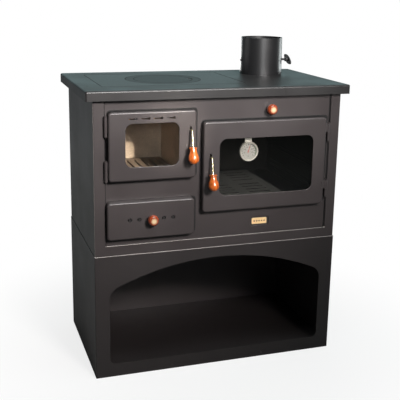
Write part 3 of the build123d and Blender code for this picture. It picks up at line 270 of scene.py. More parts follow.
# ---- paints and metals -----------------------------------------------------------
def heatproof_paint(name, colour, roughness, rim=None):
    """Silicone heat-proof paint, sprayed on steel: satin, with the dry grain of the spray.

    The real grain is about 0.2 mm, drawn coarser so that it shows. rim is the depth in Y past
    which a door pan's turned rim is painted black, painted shade of the gap round the door,
    and that black.
    """
    material, tree, place = start_finish(name)
    clouds = add(tree, "ShaderNodeTexNoise", {
        "Vector": place, "Scale": cells(140.0), "Detail": 3.0})
    grain = add(tree, "ShaderNodeTexNoise", {"Vector": place, "Scale": cells(0.9), "Detail": 2.0})
    tone = add(tree, "ShaderNodeMix", {
        SHARE: clouds, UNDER: scaled(colour, 0.88), OVER: scaled(colour, 1.12)})
    speck = add(tree, "ShaderNodeMix", {SHARE: 0.22, UNDER: tone, OVER: grain.outputs["Color"]},
                blend_type="SOFT_LIGHT")
    gloss = add(tree, "ShaderNodeMapRange", {
        "Value": clouds, "From Min": 0.3, "From Max": 0.7,
        "To Min": roughness - 0.04, "To Max": roughness + 0.05})
    if rim:
        start, black = rim
        depth = add(tree, "ShaderNodeSeparateXYZ", {"Vector": place}).outputs["Y"]
        share = add(tree, "ShaderNodeMapRange", {
            "Value": depth, "From Min": start, "From Max": start + 1.5 * MM})
        speck = add(tree, "ShaderNodeMix", {SHARE: share, UNDER: speck, OVER: black})
    return end_finish(material, {"Base Color": speck, "Roughness": gloss, "IOR": 1.5},
                      relief=(grain, 0.22, 0.12))


def cast_iron(name, colour, roughness, sand=1.6):
    """Sand-cast iron, painted or blackened: a pebbly skin from the mould's sand.

    sand is the size of the pebbles in millimetres, a little coarse so that they show.
    """
    material, tree, place = start_finish(name)
    skin = add(tree, "ShaderNodeTexNoise", {
        "Vector": place, "Scale": cells(sand), "Detail": 4.0, "Roughness": 0.6})
    stains = add(tree, "ShaderNodeTexNoise", {"Vector": place, "Scale": cells(70.0), "Detail": 4.0})
    tone = add(tree, "ShaderNodeMix", {
        SHARE: stains, UNDER: scaled(colour, 0.8), OVER: scaled(colour, 1.18)})
    return end_finish(material, {"Base Color": tone, "IOR": 1.5},
                      (skin, roughness - 0.1, roughness + 0.1), (skin, 0.5, 0.3))


def mill_steel(name, colour):
    """Hot-rolled mild steel, left bare: bluish scale in patches and faint rolling lines."""
    material, tree, place = start_finish(name)
    rolled = add(tree, "ShaderNodeMapping", {"Vector": place, "Scale": (1.0, 0.05, 1.0)})
    lines = add(tree, "ShaderNodeTexNoise", {"Vector": rolled, "Scale": cells(1.5)})
    scale = add(tree, "ShaderNodeTexNoise", {"Vector": place, "Scale": cells(25.0), "Detail": 5.0})
    tone = add(tree, "ShaderNodeMix", {
        SHARE: scale, UNDER: scaled(colour, 0.55), OVER: scaled(colour, 1.1)})
    return end_finish(material, {"Base Color": tone, "Metallic": 1.0}, (lines, 0.38, 0.58))


def stove_enamel(name, colour, roughness, cut=None):
    """Vitreous enamel fired on steel: glassy, with pin-head flecks and a slight orange peel.

    cut is the darker tone given to every face that does not face up, such as the upright punched
    edges.
    """
    material, tree, place = start_finish(name)
    flecks = add(tree, "ShaderNodeTexVoronoi", {"Vector": place, "Scale": cells(4.0)})
    fleck = add(tree, "ShaderNodeMapRange", {
        "Value": flecks, "From Min": 0.08, "From Max": 0.16, "To Min": 1.0, "To Max": 0.0})
    tone = add(tree, "ShaderNodeMix", {SHARE: fleck, UNDER: colour, OVER: scaled(colour, 1.6)})
    if cut:
        facing = add(tree, "ShaderNodeTexCoord").outputs["Normal"]
        rise = add(tree, "ShaderNodeSeparateXYZ", {"Vector": facing}).outputs["Z"]
        flat = add(tree, "ShaderNodeMath", {0: rise, 1: 0.6}, operation="GREATER_THAN")
        tone = add(tree, "ShaderNodeMix", {SHARE: flat, UNDER: cut, OVER: tone})
    peel = add(tree, "ShaderNodeTexNoise", {"Vector": place, "Scale": cells(3.0)})
    return end_finish(material, {"Base Color": tone, "IOR": 1.5},
                      (peel, roughness - 0.04, roughness + 0.06), (peel, 0.25, 0.1))


def plated_metal(name, colour, roughness):
    """Plated or polished metal: fine polishing marks in the gloss and a breath of tarnish."""
    material, tree, place = start_finish(name)
    marks = add(tree, "ShaderNodeTexNoise", {"Vector": place, "Scale": cells(0.8), "Detail": 2.0})
    tarnish = add(tree, "ShaderNodeTexNoise", {"Vector": place, "Scale": cells(18.0)})
    tone = add(tree, "ShaderNodeMix", {SHARE: tarnish, UNDER: scaled(colour, 0.85), OVER: colour})
    return end_finish(material, {"Base Color": tone, "Metallic": 1.0},
                      (marks, roughness * 0.7, roughness * 1.5), (marks, 0.3, 0.03))


# ---- lining, wood, seals, glass and print ----------------------------------------
def vermiculite_brick(name, colour):
    """Pressed vermiculite board: matt and crumbly, with golden and sooty flakes."""
    material, tree, place = start_finish(name)
    flakes = add(tree, "ShaderNodeTexVoronoi", {"Vector": place, "Scale": cells(3.5)})
    soot = add(tree, "ShaderNodeTexNoise", {"Vector": place, "Scale": cells(110.0), "Detail": 5.0})
    flaky = add(tree, "ShaderNodeMix", {
        SHARE: flakes, UNDER: scaled(colour, 0.82), OVER: scaled(colour, 1.2)})
    burnt = add(tree, "ShaderNodeMapRange", {
        "Value": soot, "From Min": 0.5, "From Max": 0.75, "To Min": 0.0, "To Max": 0.6})
    tone = add(tree, "ShaderNodeMix", {SHARE: burnt, UNDER: flaky, OVER: scaled(colour, 0.35)})
    return end_finish(material, {"Base Color": tone, "Roughness": 0.95, "IOR": 1.45},
                      relief=(flakes, 0.4, 0.3))


def lacquered_beech(name, colour, grain_colour, turn, highlight_spot=None):
    """Turned beech, stained and dipped in clear lacquer: fine grain under a wet gloss.

    turn lays the grain along the piece. The last argument is the middle, radius and colour of a
    pale spot of painted highlight in the middle of a knob's face.
    """
    material, tree, place = start_finish(name)
    laid = add(tree, "ShaderNodeMapping", {
        "Vector": place, "Rotation": turn, "Scale": (1.0, 1.0, 0.07)})
    rings = add(tree, "ShaderNodeTexNoise", {
        "Vector": laid, "Scale": cells(3.5), "Detail": 4.0, "Distortion": 0.6})
    pores = add(tree, "ShaderNodeTexNoise", {"Vector": laid, "Scale": cells(0.8)})
    bands = add(tree, "ShaderNodeMapRange", {"Value": rings, "From Min": 0.35, "From Max": 0.68})
    stain = add(tree, "ShaderNodeMix", {SHARE: bands, UNDER: grain_colour, OVER: colour})
    dark = add(tree, "ShaderNodeMapRange", {
        "Value": pores, "From Min": 0.62, "From Max": 0.72, "To Min": 0.0, "To Max": 0.5})
    tone = add(tree, "ShaderNodeMix", {SHARE: dark, UNDER: stain, OVER: scaled(grain_colour, 0.5)})
    # painted highlight: a pale spot round the middle of a knob's face
    if highlight_spot:
        middle, radius, pale = highlight_spot
        away = add(tree, "ShaderNodeVectorMath", {0: place, 1: middle}, operation="SUBTRACT")
        flat = add(tree, "ShaderNodeVectorMath", {0: away, 1: (1.0, 0.0, 1.0)},
                   operation="MULTIPLY")
        reach = add(tree, "ShaderNodeVectorMath", {0: flat}, operation="LENGTH")
        share = add(tree, "ShaderNodeMapRange", {
            "Value": reach, "From Min": 0.25 * radius, "From Max": 0.66 * radius,
            "To Min": 0.95, "To Max": 0.0})
        tone = add(tree, "ShaderNodeMix", {SHARE: share, UNDER: tone, OVER: pale})
    return end_finish(material, {
        "Base Color": tone, "Roughness": 0.38, "IOR": 1.5, "Coat Weight": 1.0,
        "Coat Roughness": 0.06, "Coat IOR": 1.52})


def knitted_rope(name, colour):
    """Knitted glass-fibre rope: pale and matt, with a slanting knit.

    The real knit is about 3 mm apart. It is drawn 6 mm apart so that it shows: a Wave texture
    has three bands to a cell.
    """
    material, tree, place = start_finish(name)
    slant = add(tree, "ShaderNodeMapping", {"Vector": place, "Rotation": (0.0, pi / 4, 0.0)})
    knit = add(tree, "ShaderNodeTexWave", {
        "Vector": slant, "Scale": cells(18.0), "Distortion": 1.5, "Detail": 1.0}).outputs["Fac"]
    tone = add(tree, "ShaderNodeMix", {SHARE: knit, UNDER: scaled(colour, 0.6), OVER: colour})
    return end_finish(material, {"Base Color": tone, "Roughness": 0.9}, relief=(knit, 0.7, 0.8))


def clear_glass(name, tint, haze):
    """Thin clear glass: light passes with a faint tint and the surface mirrors by its Fresnel."""
    material, tree, place = start_finish(name)
    smears = add(tree, "ShaderNodeTexNoise", {"Vector": place, "Scale": cells(35.0), "Detail": 4.0})
    gloss = add(tree, "ShaderNodeMapRange", {
        "Value": smears, "To Min": haze * 0.5, "To Max": haze * 1.5})
    through = add(tree, "ShaderNodeBsdfTransparent", {"Color": tint})
    mirror = add(tree, "ShaderNodeBsdfGlossy", {"Color": linear("#ffffff"), "Roughness": gloss})
    share = add(tree, "ShaderNodeFresnel", {"IOR": 1.5})
    pane = add(tree, "ShaderNodeMixShader", {0: share, 1: through, 2: mirror})
    add(tree, "ShaderNodeOutputMaterial", {"Surface": pane})
    return material


def printed_enamel(name, colour, roughness=0.4):
    """Printed or lacquered metal: even colour with the faintest cloud in its gloss."""
    material, tree, place = start_finish(name)
    clouds = add(tree, "ShaderNodeTexNoise", {"Vector": place, "Scale": cells(5.0)})
    tone = add(tree, "ShaderNodeMix", {SHARE: clouds, UNDER: scaled(colour, 0.94), OVER: colour})
    return end_finish(material, {"Base Color": tone, "IOR": 1.5},
                      (clouds, roughness - 0.05, roughness + 0.05))


# ---- repeated fittings, made by Geometry Nodes -----------------------------------
def fittings_tree(name, inputs, result):
    """New Geometry Nodes tree with named inputs of these types, and its input sockets."""
    tree = bpy.data.node_groups.new(name, "GeometryNodeTree")
    for socket, kind in inputs.items():
        tree.interface.new_socket(socket, in_out="INPUT", socket_type="NodeSocket" + kind)
    tree.interface.new_socket(result, in_out="OUTPUT", socket_type="NodeSocketGeometry")
    return tree, add(tree, "NodeGroupInput").outputs


def set_out(tree, points, shape, turn, finish, result):
    """Ends a tree: the shape on each point, turned, made real and given its finish."""
    turned = add(tree, "FunctionNodeEulerToRotation", {"Euler": turn})
    copies = add(tree, "GeometryNodeInstanceOnPoints", {
        "Points": points, "Instance": shape, "Rotation": turned})
    real = add(tree, "GeometryNodeRealizeInstances", {"Geometry": copies})
    painted = add(tree, "GeometryNodeSetMaterial", {"Geometry": real, "Material": finish})
    add(tree, "NodeGroupOutput", {result: painted})
    return tree


def rivet_tree():
    """Domed heads on given places: a low skirt under a smaller crown."""
    tree, given = fittings_tree("Domed rivets", {
        "Places": "Geometry", "Head radius": "Float", "Head height": "Float", "Turn": "Vector",
        "Finish": "Material"}, "Rivets")
    shoulder, crown_top, half = (
        add(tree, "ShaderNodeMath", {0: given[size], 1: part}, operation="MULTIPLY")
        for size, part in (("Head radius", 0.88), ("Head radius", 0.45), ("Head height", 0.5)))
    skirt, crown = (
        add(tree, "GeometryNodeMeshCone", {
            "Vertices": 20, "Radius Top": top, "Radius Bottom": bottom, "Depth": half})
        for top, bottom in ((shoulder, given["Head radius"]), (crown_top, shoulder)))
    rise = add(tree, "ShaderNodeCombineXYZ", {"Z": half})
    raised = add(tree, "GeometryNodeTransform", {"Geometry": crown, "Translation": rise})
    head = add(tree, "GeometryNodeJoinGeometry")
    for part in (skirt, raised):
        tree.links.new(part.outputs[0], head.inputs[0])
    return set_out(tree, given["Places"], head, given["Turn"], given["Finish"], "Rivets")


def tick_tree():
    """Bars round an arc about the origin, seen along +Y, the first at the start angle."""
    tree, given = fittings_tree("Dial ticks", {
        "Count": "Int", "Start": "Float", "Step": "Float", "Radius": "Float", "Bar": "Vector",
        "Finish": "Material"}, "Ticks")
    index = add(tree, "GeometryNodeInputIndex")
    turned = add(tree, "ShaderNodeMath", {0: index, 1: given["Step"], 2: given["Start"]},
                 operation="MULTIPLY_ADD")
    across, up = (
        add(tree, "ShaderNodeMath", {
            0: add(tree, "ShaderNodeMath", {0: turned}, operation=ratio),
            1: given["Radius"]}, operation="MULTIPLY")
        for ratio in ("SINE", "COSINE"))
    place = add(tree, "ShaderNodeCombineXYZ", {"X": across, "Z": up})
    points = add(tree, "GeometryNodePoints", {"Count": given["Count"], "Position": place})
    lean = add(tree, "ShaderNodeCombineXYZ", {"Y": turned})
    bar = add(tree, "GeometryNodeMeshCube", {"Size": given["Bar"]})
    return set_out(tree, points, bar, lean, given["Finish"], "Ticks")


def grown(name, tree, places, values):
    """Runs a Geometry Nodes tree on loose points and returns the plain mesh."""
    seed = bpy.data.meshes.new(name)
    seed.from_pydata(places, [], [])
    maker = placed(name, seed)
    modifier = maker.modifiers.new("Fittings", "NODES")
    modifier.node_group = tree
    for item in tree.interface.items_tree:
        if item.in_out == "INPUT" and item.name in values:
            modifier[item.identifier] = values[item.name]
    return plain_mesh(maker)


def rivets(name, tree, places, turn, radius, height, finish, body):
    """Domed heads on their places as one piece; turn is FRONT, BACK or TOP."""
    mesh = grown(name, tree, places, {
        "Head radius": radius, "Head height": height, "Turn": turn, "Finish": finish})
    new_piece(name, mesh, finish, body)


# ---- text, beads, bands and strips -----------------------------------------------
def lettering(text, size, depth, x, z):
    """Text as a solid mesh, upright in the XZ plane and centred on x and z."""
    curve = bpy.data.curves.new("lettering", "FONT")
    curve.body = text
    curve.size = size
    curve.extrude = depth / 2
    curve.align_x = "CENTER"
    curve.align_y = "CENTER"
    maker = placed("lettering", curve)
    maker.rotation_euler = (pi / 2, 0.0, 0.0)
    mesh = plain_mesh(maker)
    mesh.transform(Matrix.Translation((x, 0.0, z)))
    return mesh


def as_mesh(name, shape):
    """A bmesh as a plain mesh."""
    mesh = bpy.data.meshes.new(name)
    shape.to_mesh(mesh)
    shape.free()
    return mesh


def joined(meshes):
    """One mesh from several."""
    shape = bmesh.new()
    for mesh in meshes:
        shape.from_mesh(mesh)
        bpy.data.meshes.remove(mesh)
    return as_mesh("whole", shape)


def rounded_outline(low, high, corner, steps=6):
    """Points round a rectangle with round corners, from two opposite corners in its plane."""
    points = []
    middle = ((low[0] + high[0]) / 2, (low[1] + high[1]) / 2)
    half = ((high[0] - low[0]) / 2 - corner, (high[1] - low[1]) / 2 - corner)
    for quarter, (side, rise) in enumerate(((1, 1), (-1, 1), (-1, -1), (1, -1))):
        for step in range(steps + 1):
            turn = pi / 2 * (quarter + step / steps)
            points.append((middle[0] + side * half[0] + corner * cos(turn),
                           middle[1] + rise * half[1] + corner * sin(turn)))
    return points


def bead(name, points, radius, closed=False):
    """Round bead along points in space."""
    curve = bpy.data.curves.new(name, "CURVE")
    curve.dimensions = "3D"
    curve.bevel_depth = radius
    curve.bevel_resolution = 3
    curve.use_fill_caps = not closed
    line = curve.splines.new("POLY")
    line.points.add(len(points) - 1)
    line.use_cyclic_u = closed
    for point, place in zip(line.points, points):
        point.co = (*place, 1.0)
    return plain_mesh(placed(name, curve))


def band(name, outer, inner, lift):
    """Thin flat band between two outlines of as many points; lift places a point on each face."""
    shape = bmesh.new()
    rails = [[shape.verts.new(lift(point, level)) for point in line]
             for line, level in ((outer, 0), (outer, 1), (inner, 1), (inner, 0))]
    for first, second in zip(rails, rails[1:] + rails[:1]):
        for i in range(len(outer)):
            shape.faces.new((first[i - 1], first[i], second[i], second[i - 1]))
    bmesh.ops.recalc_face_normals(shape, faces=shape.faces)
    return as_mesh(name, shape)


def strip_over_edge(name, width, proud, low, edge, top_y):
    """Narrow raised strip up a front face and back over its rounded top edge.

    low is its lowest point, edge the upper front corner's centre and radius, top_y its end.
    """
    centre, radius = edge
    steps, foot = 8, 1.4  # steps round the edge, and the foot's width as a share of the top's
    shape = bmesh.new()

    def line(across, stand):
        """A long edge: its share of the width from the middle, and how far it stands proud."""
        reach = radius + stand
        turns = [pi - pi / 2 * step / steps for step in range(steps + 1)]
        path = [(low.y - stand, low.z),
                *((centre.y + reach * cos(turn), centre.z + reach * sin(turn)) for turn in turns),
                (top_y, centre.z + reach)]
        return [shape.verts.new((low.x + across * width, y, z)) for y, z in path]

    left, right = line(-0.5, proud), line(0.5, proud)
    left_foot, right_foot = line(-0.5 * foot, -proud), line(0.5 * foot, -proud)
    loop = (left, right, right_foot, left_foot)
    for first, second in zip(loop, loop[1:] + loop[:1]):
        for i in range(len(first) - 1):
            shape.faces.new((first[i], second[i], second[i + 1], first[i + 1]))
    shape.faces.new([points[0] for points in reversed(loop)])
    shape.faces.new([points[-1] for points in loop])
    bmesh.ops.recalc_face_normals(shape, faces=shape.faces)
    return as_mesh(name, shape)


# ---- operators -------------------------------------------------------------------
class STOVE_OT_stage(Operator):
    """Sets up the camera, the softboxes, the room and the pale floor"""
    bl_idname = "stove.stage"
    bl_label = "Stage"

    def execute(self, context):
        stage = context.scene.stove_stage
        self.place_camera(context, stage)
        grids = {"key": stage.grid, "strip": stage.strip_grid}
        # each softbox: its name and setting, place, target, width and height, and tint
        for name, place, target, size, tint in (
                ("key", (0.45, -2.75, 2.15), (-0.42, 0.0, 1.05), (0.6, 0.6), "#fff9f7"),
                ("top", (0.25, -0.75, 2.6), (0.0, -0.15, 0.7), (1.6, 0.9), "#e6f2f4"),
                ("back", (0.9, 3.1, 1.5), (0.1, 0.0, 0.8), (4.0, 1.6), "#bfe6e8"),
                ("side", (-1.7, 2.6, 0.35), (-0.375, 0.0, 0.5), (1.6, 1.2), "#eaf3f6"),
                ("left", (-2.6, 1.0, 0.45), (-0.375, 0.0, 0.4), (1.2, 0.7), "#ffffff"),
                ("right", (2.6, 1.0, 0.5), (0.375, 0.0, 0.45), (1.2, 0.8), "#f0f8f8"),
                ("rear", (0.7, 2.8, 0.45), (0.1, 0.2, 0.45), (2.0, 0.7), "#ffffff"),
                ("strip", (-0.35, -2.9, 1.6), (0.245, 0.05, 0.93), (0.5, 0.7), "#ffffff")):
            softbox = bpy.data.lights.new(name + "_light", "AREA")
            softbox.shape = "RECTANGLE"
            softbox.size, softbox.size_y = size
            softbox.spread = grids.get(name, pi)
            self.hang(softbox, place, target, getattr(stage, name), tint)
        beam = bpy.data.lights.new("beam_light", "SPOT")
        beam.spot_size = stage.cone
        beam.spot_blend = 0.8
        beam.shadow_soft_size = 90.0 * MM
        self.hang(beam, (0.27, -2.8, 1.66), (-0.205, 0.157, 0.6), stage.beam, "#fff3e6")
        self.light_room(context, stage)
        self.lay_floor(stage)
        context.scene.view_settings.view_transform = "Standard"
        return {"FINISHED"}

    def place_camera(self, context, stage):
        """Camera that looks along +Y until it is turned, tilted and rolled."""
        data = bpy.data.cameras.new("camera")
        data.lens = stage.lens
        data.sensor_width = 36.0
        data.shift_x = stage.shift_x
        data.shift_y = stage.shift_y
        camera = placed("camera", data)
        camera.matrix_world = (Matrix.Translation(stage.eye)
                               @ Matrix.Rotation(-stage.yaw, 4, "Z")
                               @ Matrix.Rotation(pi / 2 + stage.pitch, 4, "X")
                               @ Matrix.Rotation(stage.roll, 4, "Z"))
        context.scene.camera = camera

    def hang(self, light, place, target, power, tint):
        """Puts a light in its place, facing its target."""
        light.energy = power
        light.color = linear(tint)[:3]
        lamp = placed(light.name, light)
        lamp.location = place
        lamp.rotation_euler = (Vector(target) - lamp.location).to_track_quat("-Z", "Y").to_euler()

    def light_room(self, context, stage):
        """White room to the eye, dimmer as a light so that the softboxes model the object."""
        world = bpy.data.worlds.new("room")
        tree = cleared(world)
        seen = add(tree, "ShaderNodeBackground", {"Color": stage.backdrop, "Strength": 1.0})
        glow = add(tree, "ShaderNodeBackground", {
            "Color": linear("#e8f1f4"), "Strength": stage.ambient})
        sight = add(tree, "ShaderNodeLightPath").outputs["Is Camera Ray"]
        room = add(tree, "ShaderNodeMixShader", {0: sight, 1: glow, 2: seen})
        add(tree, "ShaderNodeOutputWorld", {"Surface": room})
        context.scene.world = world

    def lay_floor(self, stage):
        """Painted floor, washed out to white away from the object and dim as a reflector."""
        near, far, reach = 0.3, 1.0, 9.0
        material, tree, place = start_finish("pale_floor")
        clouds = add(tree, "ShaderNodeTexNoise", {"Vector": place, "Scale": cells(600.0)})
        tone = add(tree, "ShaderNodeMix", {
            SHARE: clouds, UNDER: scaled(stage.floor, 0.985), OVER: stage.floor})
        paint = add(tree, "ShaderNodeBsdfDiffuse", {"Color": tone})
        wash = add(tree, "ShaderNodeEmission", {"Color": stage.backdrop, "Strength": 1.0})
        away = add(tree, "ShaderNodeVectorMath", {0: place}, operation="LENGTH")
        share = add(tree, "ShaderNodeMapRange", {
            "Value": away, "From Min": near, "From Max": far, "To Min": 0.8, "To Max": 1.0},
            interpolation_type="SMOOTHSTEP")
        seen = add(tree, "ShaderNodeMixShader", {0: share, 1: paint, 2: wash})
        dim = add(tree, "ShaderNodeBsdfDiffuse", {"Color": scaled(stage.floor, 0.30)})
        sight = add(tree, "ShaderNodeLightPath").outputs["Is Camera Ray"]
        whole = add(tree, "ShaderNodeMixShader", {0: sight, 1: dim, 2: seen})
        add(tree, "ShaderNodeOutputMaterial", {"Surface": whole})
        mesh = bpy.data.meshes.new("floor")
        corners = [(x * reach, y * reach, 0.0) for x, y in ((-1, -1), (1, -1), (1, 1), (-1, 1))]
        mesh.from_pydata(corners, [], [(0, 1, 2, 3)])
        mesh.materials.append(material)
        placed("floor", mesh)


class STOVE_OT_casing(Operator):
    """Paints the casing, doors, drawer front and log store"""
    bl_idname = "stove.casing"
    bl_label = "Casing and log store"

    def execute(self, context):
        finishes = context.scene.stove_finishes
        satin, painted_depth = 0.40, 7.0 * MM
        paint = heatproof_paint("silicone_paint_charcoal", finishes.casing, satin)
        dress(paint, "side_panel_left", "side_panel_right", "back_panel", "bottom_rail",
              "front_plate", "hinge_brackets", "hinge_pins", "fire_door_hinges",
              "oven_door_hinges", "drawer_front", "casing_floor", "base_shell")
        # painted shade: past painted_depth each door pan's rim is painted black, for the dark gap
        # round the door
        black = scaled(finishes.gap_shade, 1.5)
        for panel in ("fire_door_panel", "oven_door_panel"):
            rim = (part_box(panel)[0].y + painted_depth, black)
            dress(heatproof_paint("silicone_paint_" + panel, finishes.casing, satin, rim), panel)
        # painted shade: a darker copy of the casing paint for the base front and log store floor,
        # lit less low down
        dress(heatproof_paint("silicone_paint_base", scaled(finishes.casing, 0.6), 0.46),
              "base_front", "base_floor")
        return {"FINISHED"}


class STOVE_OT_hob(Operator):
    """Finishes the hob frame, its cast plate, ring and lid, and adds the weld on the rim"""
    bl_idname = "stove.hob"
    bl_label = "Hob"

    def execute(self, context):
        finishes = context.scene.stove_finishes
        fittings = context.scene.stove_fittings
        paint = heatproof_paint("silicone_paint_hob", finishes.hob, 0.44)
        dress(paint, "hob_frame")
        dress(cast_iron("painted_cast_iron", finishes.hob_iron, 0.44), "hob_plate")
        dress(cast_iron("blackened_cast_iron", finishes.hob_lid, 0.5), "hob_ring", "hob_lid")
        low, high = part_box("hob_frame")
        proud, rounding = 0.25 * MM, 5.0 * MM
        start = Vector((high.x - fittings.seam_place, low.y, low.z))
        corner = Vector((start.x, low.y + rounding, high.z - rounding))
        seam = strip_over_edge("hob_seam", fittings.seam_width, proud, start, (corner, rounding),
                               low.y + 3 * rounding)
        new_piece("hob_seam", seam, paint, "stove")
        return {"FINISHED"}


class STOVE_OT_flue(Operator):
    """Blackens the flue spigot and its damper"""
    bl_idname = "stove.flue"
    bl_label = "Flue spigot and damper"

    def execute(self, context):
        black = context.scene.stove_finishes.flue
        dress(heatproof_paint("silicone_paint_black", black, 0.36), "flue_spigot")
        dress(cast_iron("damper_cast_iron", black, 0.6), "damper_shaft", "damper_disc",
              "damper_handle")
        return {"FINISHED"}


class STOVE_OT_fire_side(Operator):
    """Finishes the firebox lining, grate, ash box and the steel parts inside the casing"""
    bl_idname = "stove.fire_side"
    bl_label = "Firebox and ash drawer"

    def execute(self, context):
        finishes = context.scene.stove_finishes
        dress(vermiculite_brick("vermiculite_board", finishes.brick), "firebricks")
        dress(cast_iron("grate_cast_iron", finishes.grate, 0.6, sand=2.5), "grate")
        dress(mill_steel("mild_steel_plate", finishes.lining), "smoke_shelf", "bypass_valve",
              "hearth_plate", "divider", "drawer_runners", "ash_box", "fire_latch_bracket",
              "oven_latch_bracket", "fire_catch", "oven_catch")
        # painted shade: the parts inside the doors, seen through the vents and round the glass,
        # painted near black
        dress(heatproof_paint("silicone_paint_inside", scaled(finishes.casing, 0.1), 0.7),
              "fire_seal_channel", "oven_seal_channel", "fire_glass_clips", "oven_glass_clips")
        # painted shade: the air slider behind the vents painted near black
        dress(heatproof_paint("silicone_paint_shutter", scaled(finishes.casing, 0.15), 0.6),
              "air_slider")
        return {"FINISHED"}


class STOVE_OT_oven(Operator):
    """Finishes the oven liner, its tray tracks and its tray"""
    bl_idname = "stove.oven"
    bl_label = "Oven"

    def execute(self, context):
        finishes = context.scene.stove_finishes
        dress(stove_enamel("oven_enamel_black", finishes.oven, 0.3), "oven_box", "oven_runners")
        dress(stove_enamel("tray_enamel_grey", finishes.tray, 0.35, cut=scaled(finishes.oven, 0.6)),
              "oven_tray")
        return {"FINISHED"}


class STOVE_OT_handles(Operator):
    """Finishes the wooden knobs and grips and the plated latch rods"""
    bl_idname = "stove.handles"
    bl_label = "Knobs, grips and latches"

    def execute(self, context):
        finishes = context.scene.stove_finishes
        lying, upright = (pi / 2, 0.0, 0.0), (0.0, 0.0, 0.0)
        for node in ("bypass_knob", "drawer_knob"):
            low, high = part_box(node)
            # painted highlight: a pale spot in the middle of the knob's face
            highlight_spot = ((low + high) / 2, (high.x - low.x) / 2, finishes.knob_highlight)
            dress(lacquered_beech("lacquered_beech_" + node, finishes.knob, finishes.knob_dark,
                                  lying, highlight_spot), node)
        dress(lacquered_beech("lacquered_beech_grip", finishes.wood, finishes.wood_dark, upright),
              "fire_grip", "oven_grip")
        dress(plated_metal("brass_plated_steel", finishes.rod, 0.2), "fire_latch", "oven_latch",
              "bypass_rod")
        return {"FINISHED"}


class STOVE_OT_glazing(Operator):
    """Glazes the doors and finishes their rope seals"""
    bl_idname = "stove.glazing"
    bl_label = "Door glass and seals"

    def execute(self, context):
        rope = context.scene.stove_finishes.rope
        dress(clear_glass("ceramic_glass", linear("#fbf9f5"), 0.03), "fire_door_glass",
              "oven_door_glass")
        dress(knitted_rope("glass_fibre_rope", rope), "fire_seal_rope", "oven_seal_rope")
        return {"FINISHED"}


class STOVE_OT_thermometer(Operator):
    """Finishes the oven thermometer and prints its dial"""
    bl_idname = "stove.thermometer"
    bl_label = "Oven thermometer"

    def execute(self, context):
        finishes = context.scene.stove_finishes
        fittings = context.scene.stove_fittings
        dress(plated_metal("stainless_steel_satin", linear("#c4c6c6"), 0.5), "thermometer_case")
        dress(printed_enamel("dial_print_white", finishes.dial), "thermometer_dial")
        dress(printed_enamel("needle_lacquer_red", finishes.needle, 0.3), "thermometer_needle")
        dress(clear_glass("soda_lime_glass", linear("#ffffff"), 0.02), "thermometer_lens")
        ink = printed_enamel("dial_print_black", finishes.dial_ink)
        green = printed_enamel("dial_print_green", finishes.dial_green)
        low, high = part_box("thermometer_dial")
        radius = (high.x - low.x) / 2
        plate, film = 1.0 * MM, 0.08 * MM
        centre = Matrix.Translation(((low.x + high.x) / 2, high.y - plate - film / 2,
                                     (low.z + high.z) / 2))
        bars = tick_tree()

        # the dial's sweep, and where its marks are, as shares of its radius
        first, sweep = radians(-130.0), radians(260.0)
        ticks_at, numbers_at, unit_at, arc_at = (part * radius for part in (0.78, 0.5, -0.62, 0.95))
        marks = [grown("ticks", bars, [(0, 0, 0)], {
            "Count": fittings.ticks, "Start": first, "Step": sweep / (fittings.ticks - 1),
            "Radius": ticks_at, "Bar": (1.2 * MM, film, 4.4 * MM), "Finish": ink})]
        for index in range(fittings.numerals):
            turn = first + sweep * (index + 0.5) / fittings.numerals
            marks.append(lettering(str(50 * (index + 1)), 4.8 * MM, film,
                                   sin(turn) * numbers_at, cos(turn) * numbers_at))
        marks.append(lettering("°C", 4.6 * MM, film, 0.0, unit_at))
        scale = joined(marks)
        scale.transform(centre)
        new_piece("dial_scale", scale, ink, "oven_door")

        arc = grown("arc", bars, [(0, 0, 0)], {
            "Count": 22, "Start": radians(48.0), "Step": radians(3.0), "Radius": arc_at,
            "Bar": (1.4 * MM, film, 1.5 * MM), "Finish": green})
        arc.transform(centre)
        new_piece("dial_baking_range", arc, green, "oven_door")
        return {"FINISHED"}


class STOVE_OT_badge(Operator):
    """Finishes the bare name plate, runs a bead round it and sets a row of studs in it"""
    bl_idname = "stove.badge"
    bl_label = "Name plate"

    def execute(self, context):
        finishes = context.scene.stove_finishes
        fittings = context.scene.stove_fittings
        gold = printed_enamel("gold_lacquered_brass", finishes.badge, 0.3)
        dress(gold, "badge")
        low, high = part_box("badge")
        inset = fittings.border_inset
        line = rounded_outline((low.x + inset, low.z + inset), (high.x - inset, high.z - inset),
                               fittings.plate_corner - inset)
        border = bead("badge_border", [(x, low.y, z) for x, z in line], fittings.border_radius,
                      closed=True)
        new_piece("badge_border", border, gold, "stove")
        brown = printed_enamel("stud_enamel_brown", finishes.badge_stud, 0.35)
        middle = (low + high) / 2
        pitch, stand = 8.0 * MM, 0.2 * MM
        studs = [(middle.x + pitch * i, low.y - stand, middle.z) for i in range(-2, 3)]
        rivets("badge_studs", rivet_tree(), studs, FRONT, 2.3 * MM, 0.8 * MM, brown, "stove")
        return {"FINISHED"}


